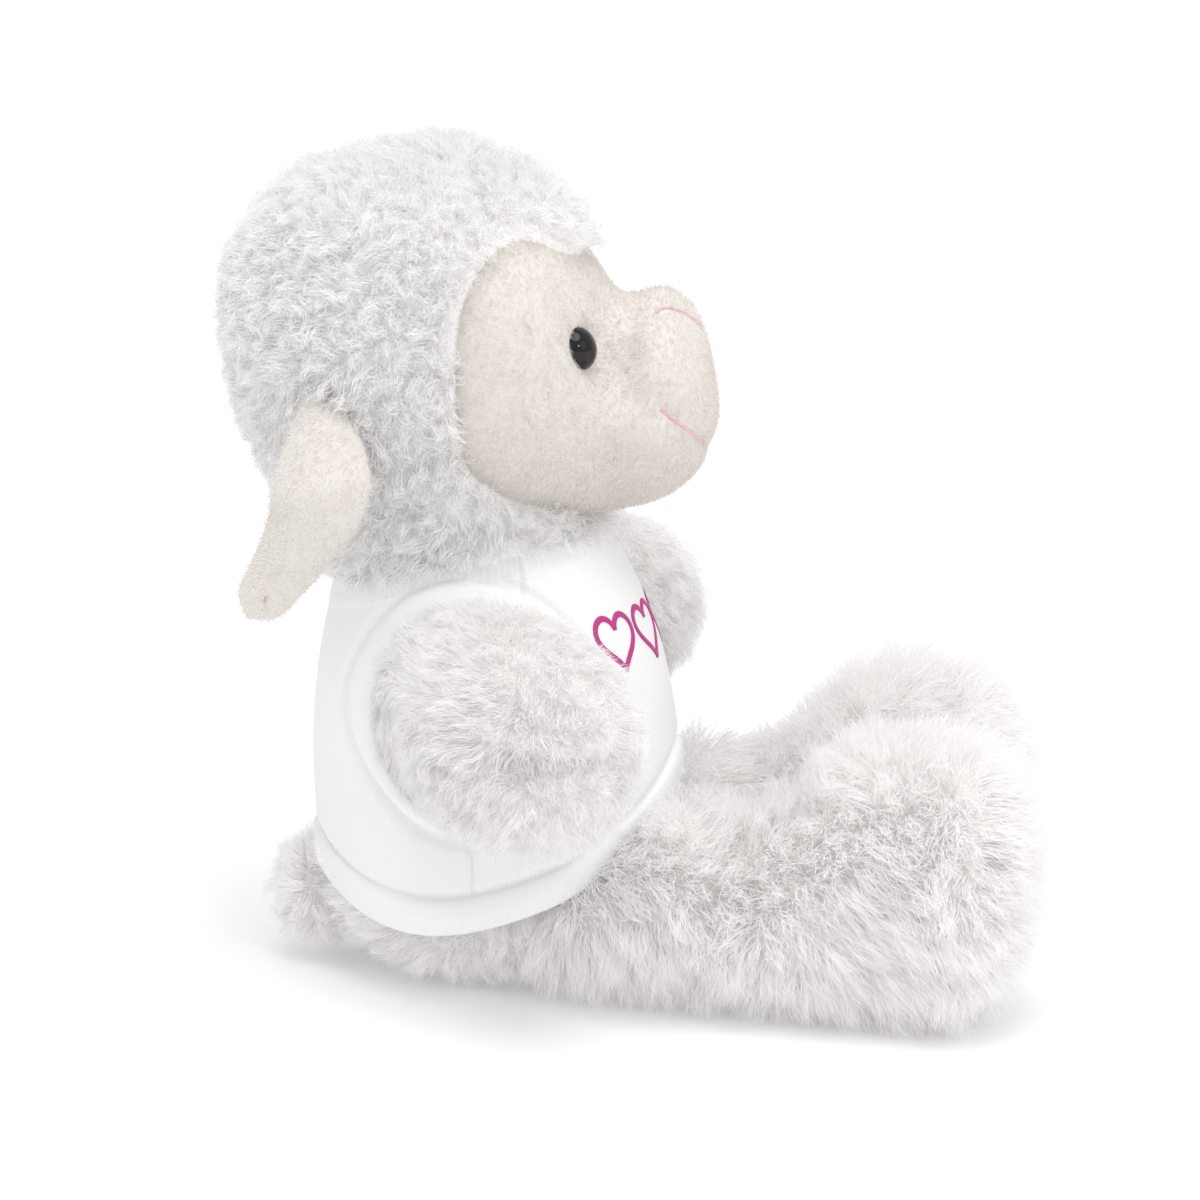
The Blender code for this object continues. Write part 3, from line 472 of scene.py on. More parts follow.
def on_floor(places, normals):
    """Lays down what would pass through the surface that the toy sits on, and slides it out."""
    pressed = np.minimum(places[:, 2] - FLOOR_PILE, 0)
    places[:, :2] -= normals[:, :2] * pressed[:, None] * FLOOR_SLIDE
    places[:, 2] = np.where(pressed < 0, FLOOR_PILE * np.exp(pressed / FLOOR_PILE), places[:, 2])
    return places


def pile(name, mesh, look, on, seed, density, length, tuft, lean, width, clump, rise, wild,
         curl=0.0, bare=None):
    """Strands over a skin, on the body given in on.

    density is in strands per square mm; length, tuft, width and curl are in mm. clump is how far
    tips gather, rise how upright the roots stand, wild how much each strand strays."""
    chance = np.random.default_rng(seed)
    area = spread(mesh, 1, chance)[2] / MM ** 2
    tufts, tuft_normals, _ = spread(mesh, int(area / tuft ** 2), chance)
    roots, normals, _ = spread(mesh, int(area * density), chance)
    if bare is not None:
        kept = ~bare(roots)
        roots, normals = roots[kept], normals[kept]
    count = len(roots)
    own = nearest(roots, tufts)
    tuft_length = length * MM * (1 + TUFT_UNEVEN * chance.uniform(-1, 1, len(tufts)))
    tuft_way = unit(tuft_normals + lean(tufts, tuft_normals)
                    + chance.normal(0, wild, (len(tufts), 3)))
    strand_way = unit(normals + lean(roots, normals) + chance.normal(0, wild, (count, 3)))
    strand_length = tuft_length[own] * chance.uniform(*STRAND_LENGTHS, count)
    free_tip = roots + strand_way * strand_length[:, None]
    tuft_tip = (tufts + tuft_way * tuft_length[:, None])[own] + (roots - tufts[own]) * TUFT_WIDTH
    tips = free_tip * (1 - clump) + tuft_tip * clump
    middles = roots + normals * (strand_length * rise)[:, None]
    turn = chance.uniform(0, math.tau, len(tufts))[own] + chance.normal(0, 0.5, count)
    across = unit(np.cross(tuft_way, chance.normal(0, 1, tuft_way.shape)))[own]
    other = unit(np.cross(tuft_way[own], across))
    rows = []
    for t in STRAND_STEPS:
        place = roots * (1 - t) ** 2 + middles * 2 * t * (1 - t) + tips * t ** 2
        angle = (turn + t * CURL_TURN)[:, None]
        swing = curl * MM * t
        rows.append(on_floor(place + (across * np.cos(angle) + other * np.sin(angle)) * swing,
                             normals))
    ways = [unit(after - before) for before, after in zip(rows, rows[1:])]
    flat = chance.normal(0, 1, (count, 3))
    thick = width * MM / 2 * chance.uniform(*STRAND_WIDTHS, count)
    places = np.empty((count, 7, 3), np.float32)
    for k, (place, way) in enumerate(zip(rows, ways)):
        offset = unit(np.cross(way, flat)) * (thick * STRAND_TAPER[k])[:, None]
        places[:, 2 * k] = place - offset
        places[:, 2 * k + 1] = place + offset
    places[:, 6] = rows[-1]
    strands = strand_mesh(name, places, tuft_tones(chance, len(tufts), own))
    print(name, "strands:", count, "triangles:", count * 5)
    return wear(add_thing(name, strands, look), *on)


def tuft_tones(chance, tufts, own):
    """A tone from 0 to 1 for each strand, mostly its tuft's."""
    tones = chance.uniform(0.1, 0.9, tufts)[own] + chance.normal(0, 0.08, len(own))
    return tones.clip(0.02, 0.98)


def strand_mesh(name, places, tones):
    """One mesh of strands of seven places each, with a map of place along the strand and tone."""
    count = len(places)
    mesh = bpy.data.meshes.new(name)
    mesh.vertices.add(count * 7)
    mesh.vertices.foreach_set("co", places.ravel())
    quads = np.array([[0, 1, 3, 2], [2, 3, 5, 4]])
    corners = np.concatenate([quads.ravel(), [4, 5, 6]])
    loops = (np.arange(count)[:, None] * 7 + corners).ravel()
    starts = (np.arange(count)[:, None] * 11 + [0, 4, 8]).ravel()
    mesh.loops.add(len(loops))
    mesh.loops.foreach_set("vertex_index", loops.astype(np.int32))
    mesh.polygons.add(len(starts))
    mesh.polygons.foreach_set("loop_start", starts.astype(np.int32))
    along = np.array([0, 0, 1, 1, 2, 2, 3])[corners]
    sideways = np.array([-1, 1, -1, 1, -1, 1, 0])[corners]
    u = np.broadcast_to(0.02 + 0.96 * STRAND_STEPS[along], (count, 11))
    v = tones[:, None] + 0.004 * sideways
    layer = mesh.uv_layers.new(name=PILE_MAP)
    layer.uv.foreach_set("vector", np.stack([u, v], -1).astype(np.float32).ravel())
    mesh.update()
    mesh.validate()
    mesh.shade_smooth()
    return mesh


def pile_look(name, root, tip, shade, glow=DEEP_LIGHT):
    """The finish of a pile: darker at the roots, as painted shade for the light that the strands
    above keep from them, and darker in some tufts at random. Light that has crossed too many fibres
    to be followed is painted in as a faint, even glow."""
    look = Finish(name, Roughness=0.9, Emission_Color=tip, Emission_Strength=glow)
    where = look.node("ShaderNodeUVMap", {"uv_map": PILE_MAP})
    along = look.node("ShaderNodeSeparateXYZ", None, [where])
    tone = Value(look, along.socket.node.outputs[1])
    base = look.mix(along ** 0.6, root, tip)
    look.colour(look.mix(tone * 0.5, base, look.mix(along, root, shade)))
    look.let_through(tip, STRAND_GLOW)
    return look


print("strand steps:", len(STRAND_STEPS) - 1)

# %% [markdown]
# The head is a curly white pile on a plump, slightly tall ball. Its tufts are short, stand nearly
# upright, curl and hang a little. No pile grows where the smooth face lies. The ball and the face
# are rows of measured sections, drawn in a little to leave room for the pile.

# %% The head's pile
HEAD_ROWS = (
    # up, side, back, half width, half depth
    (90.0, 0.0, 4.2, 0.0, 0.0),
    (102.0, 0.0, 5.0, 29.6, 29.8),
    (116.3, 0.0, 9.6, 36.2, 36.0),
    (134.2, 0.0, 17.4, 41.9, 37.9),
    (152.1, 0.0, 19.2, 45.5, 42.8),
    (170.1, 0.0, 20.0, 45.5, 44.0),
    (186.8, 0.0, 17.7, 41.9, 42.0),
    (200.6, 0.0, 17.2, 31.9, 30.0),
    (210.6, 0.0, 14.4, 0.0, 0.0),
)
FACE_ROWS = (
    # back, side, up, half width, half height
    (15.0, 0.0, 154.0, 0.0, 0.0),
    (6.8, 0.0, 156.2, 37.6, 33.5),
    (-3.4, 0.0, 157.4, 44.4, 40.2),
    (-14.9, 0.0, 155.4, 41.4, 38.2),
    (-25.0, 0.0, 150.4, 34.0, 32.6),
    (-32.6, 0.0, 146.6, 27.5, 27.6),
    (-40.9, 0.0, 147.6, 27.7, 26.9),
    (-48.9, 0.0, 147.9, 23.9, 22.8),
    (-55.0, 0.0, 146.6, 15.5, 14.1),
    (-58.3, 0.0, 144.5, 0.0, 0.0),
)
FACE_POWER = ((-32.0, -12.0), (2.0, 2.6))
HEAD_SINK = -1.4
NECK_SIDE, NECK_RISE, NECK_DIP = 111.6, 6.3, 4.3
FACE_SINK = -0.8
FACE_MARGIN = 0.6 * MM
HEAD_LAYERS = 2
# The strands are painted darker at the root than at the tip: painted shade deep in the fleece.
WOOL_ROOT = tint(0.97, 0.961, 0.952)
WOOL_TIP = tint(0.99, 0.986, 0.984)
WOOL_SHADE = tint(0.975, 0.966, 0.962)

head_form = Form("up", HEAD_ROWS, HEAD_SINK)
face_form = Form("back", FACE_ROWS, FACE_SINK, FACE_POWER)
head_wool = pile_look("head_wool", WOOL_ROOT, WOOL_TIP, WOOL_SHADE)
# The knitted back of the pile fabric, seen only between the strands
backing_shade = tint(*(part * 0.93 for part in WOOL_ROOT[:3]))
backing = Finish("pile_backing", Roughness=0.95)
backing.colour(backing.mix(backing.noise(900.0), WOOL_ROOT, backing_shade))
head_skin = wear(add_thing("head_backing", head_form.skin("head_backing"), backing), "head",
                 "fleece", "head_fleece", "head_stuffing", "left_eye_washer", "right_eye_washer")


def collar_line(angle):
    """The collar's upper edge at each angle from the front: highest there, lowest at the nape."""
    return NECK_SIDE + NECK_RISE * np.cos(angle) - NECK_DIP * np.cos(angle) ** 2


def around(places):
    """Each place's angle round the body, from the front."""
    return np.arctan2(places[:, 0], -places[:, 1])


def head_bare(places):
    """Where no fleece shows: in the face, and below the collar."""
    angle = around(places)
    neck = collar_line(angle) + 1.0 - 3.0 * np.clip(np.cos(angle), -0.6, 1) ** 2
    return face_form.inside(places, FACE_MARGIN) | (places[:, 2] < neck * MM)


for layer in range(HEAD_LAYERS):
    pile(f"head_pile_{layer + 1}", head_skin.data, head_wool, ("head", "fleece"), 11 + layer,
         density=1.7, length=6.6, tuft=3.0, lean=leaning((0.0, 0.05, -0.22), 0.35, 5, 7.0),
         width=0.30, curl=1.6, clump=0.7, rise=0.5, wild=0.35, bare=head_bare)

# %% [markdown]
# The face is a smooth cream velour with a pile too short to see as strands. It is one stuffed
# shape that reaches forward from the head: full cheeks, a dip between the eyes and the muzzle,
# and a blunt, round muzzle. Its filling blows the skin up in a short cloth simulation, in which
# the sewn lines and the rear in the head stay where they are. Thread pulled tight through the
# filling leaves its marks: a hollow round each eye, a soft crease behind the muzzle and a groove
# under each stitched line. The skin is pressed in along them before anything is put on it.

# %% The face
FACE_LIGHT = tint(0.76, 0.725, 0.69)
FACE_DEEP = tint(0.69, 0.645, 0.60)
EYE_PLACE = (26.5, 28.0, 164.0)
EYE_HOLLOW = (22.5, 35.0, 162.0)
NOSE_TOP = ((0.0, 44.0, 174.0), (0.0, 49.0, 172.5), (0.0, 53.0, 168.0))
NOSE_DIP = ((-9.0, 36.0, 173.0), (0.0, 36.5, 175.0), (9.0, 36.0, 173.0))
FACE_VOXEL = 3.0
FACE_PRESSURE = 4.0
FACE_FRAMES = 20
FACE_MOST = 2.5
THREAD_HOLD = 4.0
MUZZLE_CREASE = ((15.0, 35.5, 173.5), (21.5, 33.5, 166.0), (24.5, 33.0, 158.0),
                 (25.0, 38.0, 152.0), (22.5, 44.6, 148.2))
MOUTH_LINE = ((22.5, 44.6, 148.2), (19.0, 47.5, 144.5), (14.0, 50.8, 140.5),
              (7.5, 53.0, 137.0), (0.0, 54.6, 135.1))
NOSE_LINE = ((12.0, 42.3, 171.7), (9.5, 45.2, 172.5), (6.2, 49.6, 170.6),
             (3.2, 52.5, 167.0), (0.0, 54.0, 164.0))
PHILTRUM_LINE = ((0.0, 55.2, 161.0), (0.0, 56.8, 156.0), (0.0, 57.7, 150.0),
                 (0.0, 57.8, 143.0), (0.0, 56.0, 137.5))
FACE_MARKS = (
    # line, depth, width
    (EYE_PLACE, 2.2, 8.0),
    (EYE_HOLLOW, 2.0, 6.0),
    (MOUTH_LINE, 0.9, 2.0),
    (NOSE_LINE, 0.8, 1.8),
)

# Short dense pile: soft blotches of darker colour at random, and a fine grain
velour = Finish("face_velour", Roughness=0.92, Sheen_Weight=0.3, Sheen_Roughness=0.5)
blotches, grain = velour.noise(70.0, 3.0), velour.noise(1500.0)
velour.colour(velour.mix(blotches * 0.55 + grain * 0.4 - 0.15, FACE_LIGHT, FACE_DEEP))
velour.bump(grain + blotches * 0.3, 0.35 * MM, 0.6)


def world_places(points, hand=1):
    """Points in the toy's own terms (side, forward, up, in mm) as places in the frame."""
    points = np.atleast_2d(np.array(points, float))
    return points * [hand, -1, 1] * MM


def both_halves(points):
    """A line from one side of the face to the other, from its left half."""
    half = world_places(points)
    return np.vstack([half, half[-2::-1] * [-1, 1, 1]])


def traced(points, hand=1, steps=8):
    """A smooth line through points in the toy's own terms, or their one point, as places."""
    places = world_places(points, hand)
    return smooth_line(places, steps) if len(places) > 1 else places


def distance(places, line):
    """How far each place lies from the nearest point of a line."""
    near = np.full(len(places), np.inf)
    for point in line:
        near = np.minimum(near, np.linalg.norm(places - point, axis=1))
    return near


def press(mesh, line, depth, width):
    """Presses the skin in along a line, as a pulled thread does. depth and width in mm."""
    places = read(mesh, "co")
    push = np.exp(-(distance(places, line) / (width * MM)) ** 2) * depth * MM
    set_places(mesh, places - read(mesh, "normal") * push[:, None])


def settled(thing):
    """A mesh of its own from what an object's modifiers make of it."""
    made = thing.evaluated_get(bpy.context.evaluated_depsgraph_get())
    return bpy.data.meshes.new_from_object(made)


def finer(mesh, kind, **settings):
    """The mesh after one modifier."""
    thing = add_thing("work", mesh)
    modifier = thing.modifiers.new("work", kind)
    for setting, value in settings.items():
        setattr(modifier, setting, value)
    made = settled(thing)
    bpy.data.objects.remove(thing)
    return made


def blown_up(mesh, held, pressure, most):
    """The mesh as a cloth skin that its filling blows up. held says which points thread holds."""
    start = read(mesh, "co")
    thing = add_thing("blown_up", mesh)
    group = thing.vertex_groups.new(name="held")
    for share in np.unique(held):
        group.add(np.flatnonzero(held == share).tolist(), float(share), "REPLACE")
    cloth = thing.modifiers.new("skin", "CLOTH")
    cloth.settings.use_pressure = True
    cloth.settings.uniform_pressure_force = pressure
    cloth.settings.vertex_group_mass = "held"
    cloth.settings.effector_weights.gravity = 0
    for number in range(1, FACE_FRAMES + 1):
        bpy.context.scene.frame_set(number)
    moved = read(settled(thing), "co") - start
    bpy.data.objects.remove(thing)
    bpy.context.scene.frame_set(1)
    far = np.linalg.norm(moved, axis=1, keepdims=True)
    print("blown up, mm, at most:", round(far.max() / MM, 2), "mean:", round(far.mean() / MM, 2))
    set_places(mesh, start + moved * np.minimum(1, most * MM / np.maximum(far, 1e-9)))
    return mesh


def near_lines(places, lines, width):
    """1 on the lines and 0 beyond width, in mm, in steps of a tenth."""
    return np.round(np.clip(1 - distance(places, np.vstack(lines)) / (width * MM), 0, 1), 1)


face_skin = finer(face_form.skin("face"), "REMESH", mode="VOXEL", voxel_size=FACE_VOXEL * MM)
press(face_skin, traced(NOSE_TOP, steps=6), -2.2, 7.0)
press(face_skin, traced(NOSE_DIP, steps=6), 1.0, 5.0)
for hand in SIDES.values():
    press(face_skin, traced(MUZZLE_CREASE, hand), 3.0, 5.5)
threads = [traced(line, hand) for line in (MUZZLE_CREASE, MOUTH_LINE, NOSE_LINE, EYE_PLACE)
           for hand in SIDES.values()] + [traced(NOSE_DIP, steps=6)]
face_places = read(face_skin, "co")
face_held = np.maximum(near_lines(face_places, threads, THREAD_HOLD),
                       np.where(head_form.inside(face_places), 1.0, 0.0))
blown_up(face_skin, face_held, FACE_PRESSURE, FACE_MOST)
face_skin = finer(face_skin, "SUBSURF", levels=2, render_levels=2)
face_skin.shade_smooth()
for hand in SIDES.values():
    for line, depth, width in FACE_MARKS:
        press(face_skin, traced(line, hand), depth, width)
press(face_skin, traced(PHILTRUM_LINE), 0.3, 1.6)
face = wear(add_thing("face", face_skin, velour), "head", "face_plush", "face_patch")


def tree_of(mesh):
    """A searchable copy of a mesh's faces."""
    return BVHTree.FromPolygons([v.co for v in mesh.vertices], [p.vertices for p in mesh.polygons])


face_tree = tree_of(face_skin)
print("face, mm:", [round(v / MM, 1) for v in face.dimensions])

# %% [markdown]
# Velour is a pile too, cut to about a millimetre. It is grown here as the long pile is, only short
# and thin, and brushed back from the muzzle. It gives the cheeks their grain and softens the edge
# of the face against the light.

# %% Velour
# The velour's strands are painted darker at the root than at the tip: painted shade deep in the
# pile.
VELOUR_TIP = tint(0.86, 0.83, 0.80)
VELOUR_ROOT = tint(0.79, 0.755, 0.72)
VELOUR = {"length": 1.25, "tuft": 1.0, "width": 0.18, "clump": 0.3, "rise": 0.35, "wild": 0.2}
EYE_CLEAR = 5.8 * MM
THREAD_CLEAR = 1.3
velour_pile = pile_look("velour_pile", VELOUR_ROOT, VELOUR_TIP, FACE_LIGHT)


def in_head(places):
    return head_form.inside(places, -1.0 * MM)


def velour_bare(places):
    """Where no velour pile shows: inside the head, under the thread and under the eyes."""
    eyes = np.vstack([world_places(EYE_PLACE, hand) for hand in SIDES.values()])
    near_eye = distance(places, eyes) < EYE_CLEAR
    return in_head(places) | near_eye | (near_lines(places, sewn, THREAD_CLEAR) > 0.1)


sewn = [smooth_line(both_halves(line), 12) for line in (MOUTH_LINE, NOSE_LINE)]
sewn.append(traced(PHILTRUM_LINE, steps=12))
pile("face_velour_pile", face_skin, velour_pile, ("head", "face_plush"), 21, density=3.45,
     lean=leaning((0.0, 0.45, -0.25), 0.3, 22, 8.0), bare=velour_bare, **VELOUR)

# %% [markdown]
# The lines of the nose and mouth are sewn in pale pink thread. A single tube would look like
# wire, so each line is a row of short back stitches: plump little bars of thread that overlap a
# little and dip into the velour at their ends.

# %% Stitched lines
THREAD_PINK = tint(0.84, 0.50, 0.50)
THREAD_LIGHT = tint(0.90, 0.62, 0.61)
STITCH_LENGTH = 2.3
STITCH_RADIUS = 0.42
STITCH_SIDES = 10
STITCH_OVERLAP = 0.06
STITCH_PROUD = 0.75
THREAD_TURNS = 1400.0
STITCH_STATIONS = ((0.0, 0.25), (0.12, 0.75), (0.3, 1.0), (0.7, 1.0), (0.88, 0.75), (1.0, 0.25))


def thread_look(name, light, deep):
    look = Finish(name, Roughness=0.6, Sheen_Weight=0.2)
    turn = look.node("ShaderNodeTexWave", {"bands_direction": "DIAGONAL"},
                     {"Vector": look.place(), "Scale": THREAD_TURNS})
    # The twist's hollows take the deep colour and its ridges the light one, by the same wave as the
    # bump: painted shade in the hollows.
    look.colour(look.mix(turn, deep, light))
    look.bump(turn, 0.1 * MM)
    return look


def seated(line, tree):
    """A line laid on a surface, with the surface's normals."""
    found = [tree.find_nearest(Vector(point)) for point in line]
    return np.array([hit[0] for hit in found]), np.array([hit[1] for hit in found])


def stitch_row(name, line, tree, look, length=STITCH_LENGTH, radius=STITCH_RADIUS):
    """Short bars of thread along a line that lies on a surface. length and radius in mm."""
    places, faces = [], []
    line = smooth_line(line, 12)
    far = np.concatenate([[0], np.cumsum(np.linalg.norm(np.diff(line, axis=0), axis=1))])
    count = max(1, round(far[-1] / (length * MM)))
    for k in range(count):
        start, end = np.array([k - STITCH_OVERLAP, k + 1 + STITCH_OVERLAP]) / count * far[-1]
        stops = start + (end - start) * np.array([s[0] for s in STITCH_STATIONS])
        points = np.stack([np.interp(stops, far, line[:, i]) for i in range(3)], 1)
        points, normals = seated(points, tree)
        sides = unit(np.cross(unit(np.gradient(points, axis=0)), normals))
        faces += tube_faces(len(places), len(STITCH_STATIONS), STITCH_SIDES, ends=True)
        for point, side, normal, (_, share) in zip(points, sides, normals, STITCH_STATIONS):
            sink = (share - STITCH_PROUD) * radius * MM
            for turn in np.arange(STITCH_SIDES) * math.tau / STITCH_SIDES:
                arm = side * math.cos(turn) + normal * math.sin(turn)
                places.append(point + normal * sink + arm * radius * share * MM)
    return add_thing(name, turned_out(mesh_of(name, places, faces)), look)


pink_thread = thread_look("pink_thread", THREAD_LIGHT, THREAD_PINK)
for name, line in (("nose", both_halves(NOSE_LINE)), ("mouth", both_halves(MOUTH_LINE)),
                   ("philtrum", world_places(PHILTRUM_LINE))):
    wear(stitch_row(f"{name}_line", line, face_tree, pink_thread), "head", "thread",
         f"{name}_stitching")
print("stitches of about", STITCH_LENGTH, "mm")

# %% [markdown]
# A safety eye is a black plastic dome on a stem. Its gloss is what makes the face look back, so
# the dome is a smooth turned shape with a hard, clean coat. It sits in the hollow that its washer
# pulls into the velour, and turns outward with the cheek.

# %% Eyes
EYE_BLACK = tint(0.006, 0.005, 0.006)
EYE_WAY = (0.0, 0.75, 0.35)
EYE_RADIUS = 5.5
EYE_SIDES = 48
EYE_STEPS = 14
EYE_HEIGHT = 4.6
EYE_SINK = 1.3
EYE_SEAT = 0.9
EYE_BACK = 0.8
WELD = 0.01 * MM

eye_look = Finish("eye_gloss", Roughness=0.1, Specular_IOR_Level=0.35)
eye_look.colour(eye_look.mix(eye_look.noise(300.0), EYE_BLACK, tint(0.012, 0.011, 0.012)))


def turned_shape(name, profile, sides, centre, way):
    """A closed shape turned about a line. A profile point is (along, radius), in metres."""
    way = Vector(way)
    first = way.orthogonal().normalized()
    second = way.cross(first).normalized()
    places = []
    for along, radius in profile:
        for turn in np.arange(sides) * math.tau / sides:
            arm = first * math.cos(turn) + second * math.sin(turn)
            places.append(Vector(centre) + way * along + arm * radius)
    return turned_out(mesh_of(name, places, tube_faces(0, len(profile), sides)), WELD)


quarter = np.linspace(0, math.pi / 2, EYE_STEPS)
dome = [(EYE_HEIGHT * along * MM, EYE_RADIUS * radius * MM)
        for along, radius in zip(np.sin(quarter), np.cos(quarter))]
back = [(-EYE_SINK * MM, 0.0), (-EYE_SINK * MM, EYE_RADIUS * EYE_BACK * MM)]
for hand_name, hand in SIDES.items():
    seat, way, _, _ = face_tree.find_nearest(Vector(world_places(EYE_PLACE, hand)[0]))
    way = (way + Vector(world_places(EYE_WAY)[0]) / MM).normalized()
    centre = seat - way * (EYE_SINK - EYE_SEAT) * MM
    eye = turned_shape("eye", back + dome, EYE_SIDES, centre, way)
    wear(add_thing(f"{hand_name}_eye_dome", eye, eye_look), "head", "eye_gloss", f"{hand_name}_eye")
print("eye, mm across:", 2 * EYE_RADIUS)

# %% [markdown]
# Each ear is two velour leaves sewn together and turned, with hardly any filling. It leaves the
# side of the head, bends over at once and hangs down and back. It is made here as one closed
# leaf: a curved midline with a width and a thickness at each station, cupped a little across.

# %% Ears
EAR_LINE = ((38.5, -37.0, 152.5), (43.5, -36.2, 149.0), (50.5, -34.6, 141.5), (55.8, -35.2, 132.0),
            (55.6, -40.4, 120.5), (54.6, -46.2, 111.0), (54.2, -50.6, 104.8), (53.9, -52.8, 101.4))
EAR_CREASE = ((54.0, -40.0, 122.0), (55.0, -45.0, 113.0), (55.2, -49.0, 106.0))
EAR_FOLD = ((55.5, -47.5, 131.0), (56.6, -40.0, 132.0), (56.8, -33.0, 133.6), (55.0, -26.0, 135.6))
EAR_HALF_WIDTHS = (3.2, 6.0, 10.2, 11.6, 9.2, 7.3, 5.6, 0.6)
EAR_HALF_THICKNESS = (2.8, 3.0, 2.9, 2.6, 2.4, 2.2, 1.9, 0.3)
EAR_CUPS = (0.0, 0.5, 1.6, 2.6, 2.0, 1.0, 0.3, 0.0)
# The ear velour's strands are painted darker at the root than at the tip: painted shade deep in the
# pile.
EAR_ROOT = tint(0.85, 0.825, 0.803)
EAR_TIP = tint(0.90, 0.882, 0.864)
EAR_STEPS = 7
EAR_SIDES = 48
OCHRE_THREAD = tint(0.62, 0.42, 0.20)
OCHRE_LIGHT = tint(0.74, 0.55, 0.32)
EAR_TACK = ((55.0, -47.6, 107.2), (55.2, -48.3, 105.2))


def ear_skin(name, hand):
    """One ear's closed leaf."""
    line = smooth_line(world_places(EAR_LINE, hand), EAR_STEPS)
    sizes = np.stack([EAR_HALF_WIDTHS, EAR_HALF_THICKNESS, EAR_CUPS], 1)
    sizes = smooth_line(sizes, EAR_STEPS) * MM
    ways = unit(np.gradient(line, axis=0))
    outward = np.array([hand, 0.0, 0.35])
    widths = unit(np.cross(ways, outward))
    thicks = unit(np.cross(widths, ways))
    thicks *= np.sign(thicks @ outward)[:, None]
    turns = np.arange(EAR_SIDES) * math.tau / EAR_SIDES
    across, up = np.cos(turns), np.sin(turns)
    fuller = np.sign(up) * np.abs(up) ** 0.8
    places = []
    for point, wide, thick, (half, deep, cup) in zip(line, widths, thicks, sizes):
        places.extend(point + np.outer(across * half, wide)
                      + np.outer(fuller * deep - cup * across ** 2, thick))
    return turned_out(mesh_of(name, places, tube_faces(0, len(line), EAR_SIDES, ends=True)))


ochre_thread = thread_look("ochre_thread", OCHRE_LIGHT, OCHRE_THREAD)
ear_velour = pile_look("ear_velour", EAR_ROOT, EAR_TIP, EAR_ROOT)
for hand_name, hand in SIDES.items():
    side = f"{hand_name}_ear"
    leaf = ear_skin(f"{side}_leaf", hand)
    press(leaf, traced(EAR_CREASE, hand), 1.0, 2.4)
    press(leaf, traced(EAR_FOLD, hand), -1.3, 3.0)
    ear = wear(add_thing(f"{side}_leaf", leaf, velour), side, "face_plush", f"{side}_outer",
               f"{side}_lining")
    pile(f"{side}_velour_pile", leaf, ear_velour, (side, "face_plush"), 24 + hand, density=3.8,
         lean=leaning((0.0, 0.2, -0.5), 0.3, 22, 8.0), bare=in_head, **VELOUR)
    tack = stitch_row(f"{side}_tack", world_places(EAR_TACK, hand), tree_of(leaf), ochre_thread,
                      length=2.2, radius=0.35)
    wear(tack, side, "thread")
print("ear, mm:", [round(v / MM, 1) for v in ear.dimensions])

# %% [markdown]
# The body is the plain core that the tee hides, with pile only where it shows, below the hem. The
# arms are short stuffed cones sewn flat to the sides, the legs long ones whose feet turn up, and
# all carry a long silky pile. Its strands start upright and then lie over, down the arm and
# along the leg, so the pile looks like combed fleece and not like a ball of spikes. Each core is
# drawn in by as much as its pile stands up, so that the outside keeps the toy's real size.

# %% Body, arms, legs and tail
BODY_ROWS = (
    # up, side, back, half width, half depth
    (0.0, 0.0, 0.0, 0.0, 0.0),
    (5.1, 0.0, 0.0, 26.1, 25.2),
    (17.3, 0.0, 0.0, 39.2, 38.3),
    (37.4, 0.0, 0.0, 43.1, 43.1),
    (59.7, 0.0, -0.4, 43.1, 43.5),
    (79.8, 0.0, 0.4, 40.5, 40.9),
    (96.5, 0.0, 2.2, 36.5, 36.1),
    (106.5, 0.0, 3.9, 29.1, 28.7),
    (111.0, 0.0, 4.8, 0.0, 0.0),
)
BODY_SINK = -3.5
ARM_ROWS = (
    # side, back, up, half depth, half height
    (24.0, 0.0, 75.0, 0.0, 0.0),
    (30.0, 0.5, 75.0, 22.5, 22.5),
    (39.0, -1.4, 75.5, 27.0, 26.5),
    (51.0, -7.0, 76.5, 26.5, 28.5),
    (64.0, -13.0, 77.0, 27.0, 29.0),
    (76.0, -19.0, 76.8, 24.5, 26.0),
    (86.0, -24.0, 76.3, 16.5, 18.0),
    (91.0, -26.0, 76.0, 0.0, 0.0),
)
LEG_ROWS = (
    # back, side, up, half width, half height
    (-4.0, 22.0, 22.0, 0.0, 0.0),
    (-10.5, 22.7, 22.0, 13.0, 15.0),
    (-22.1, 24.3, 21.0, 17.2, 17.5),
    (-41.4, 27.3, 23.5, 20.8, 21.0),
    (-52.5, 29.4, 27.5, 21.8, 25.0),
    (-65.5, 31.6, 25.0, 22.2, 21.5),
    (-81.4, 35.2, 29.0, 24.4, 28.2),
    (-95.6, 37.2, 35.3, 26.0, 35.3),
    (-111.6, 38.5, 34.7, 26.0, 35.0),
    (-127.4, 38.5, 37.4, 23.4, 29.2),
    (-137.0, 38.5, 39.0, 0.0, 0.0),
)
TAIL_ROWS = (
    # back, side, up, half width, half height
    (33.0, 0.0, 18.0, 0.0, 0.0),
    (36.3, 0.0, 18.0, 5.2, 7.4),
    (40.8, 0.0, 18.0, 8.1, 10.1),
    (45.7, 0.0, 18.0, 11.2, 11.2),
    (50.6, 0.0, 18.0, 8.3, 8.3),
    (53.5, 0.0, 18.0, 0.0, 0.0),
)
ARM_SINK = -3.8
LEG_SINK = -5.0
FAR_ARM_REACH = -5.0
SEAM_FROM, SEAM_MIDDLE, SEAM_REACH, SEAM_UP, SEAM_GAP = 70, 25.0, 13.0, 74.0, 1.0
SEAM_LINE = ((83.5, 12.0, 74.0), (86.0, 18.5, 74.0), (87.0, 25.0, 74.0), (86.0, 31.5, 74.0),
             (83.5, 38.0, 74.0))
TAIL_SINK = -1.6
LEG_LAYERS = 2
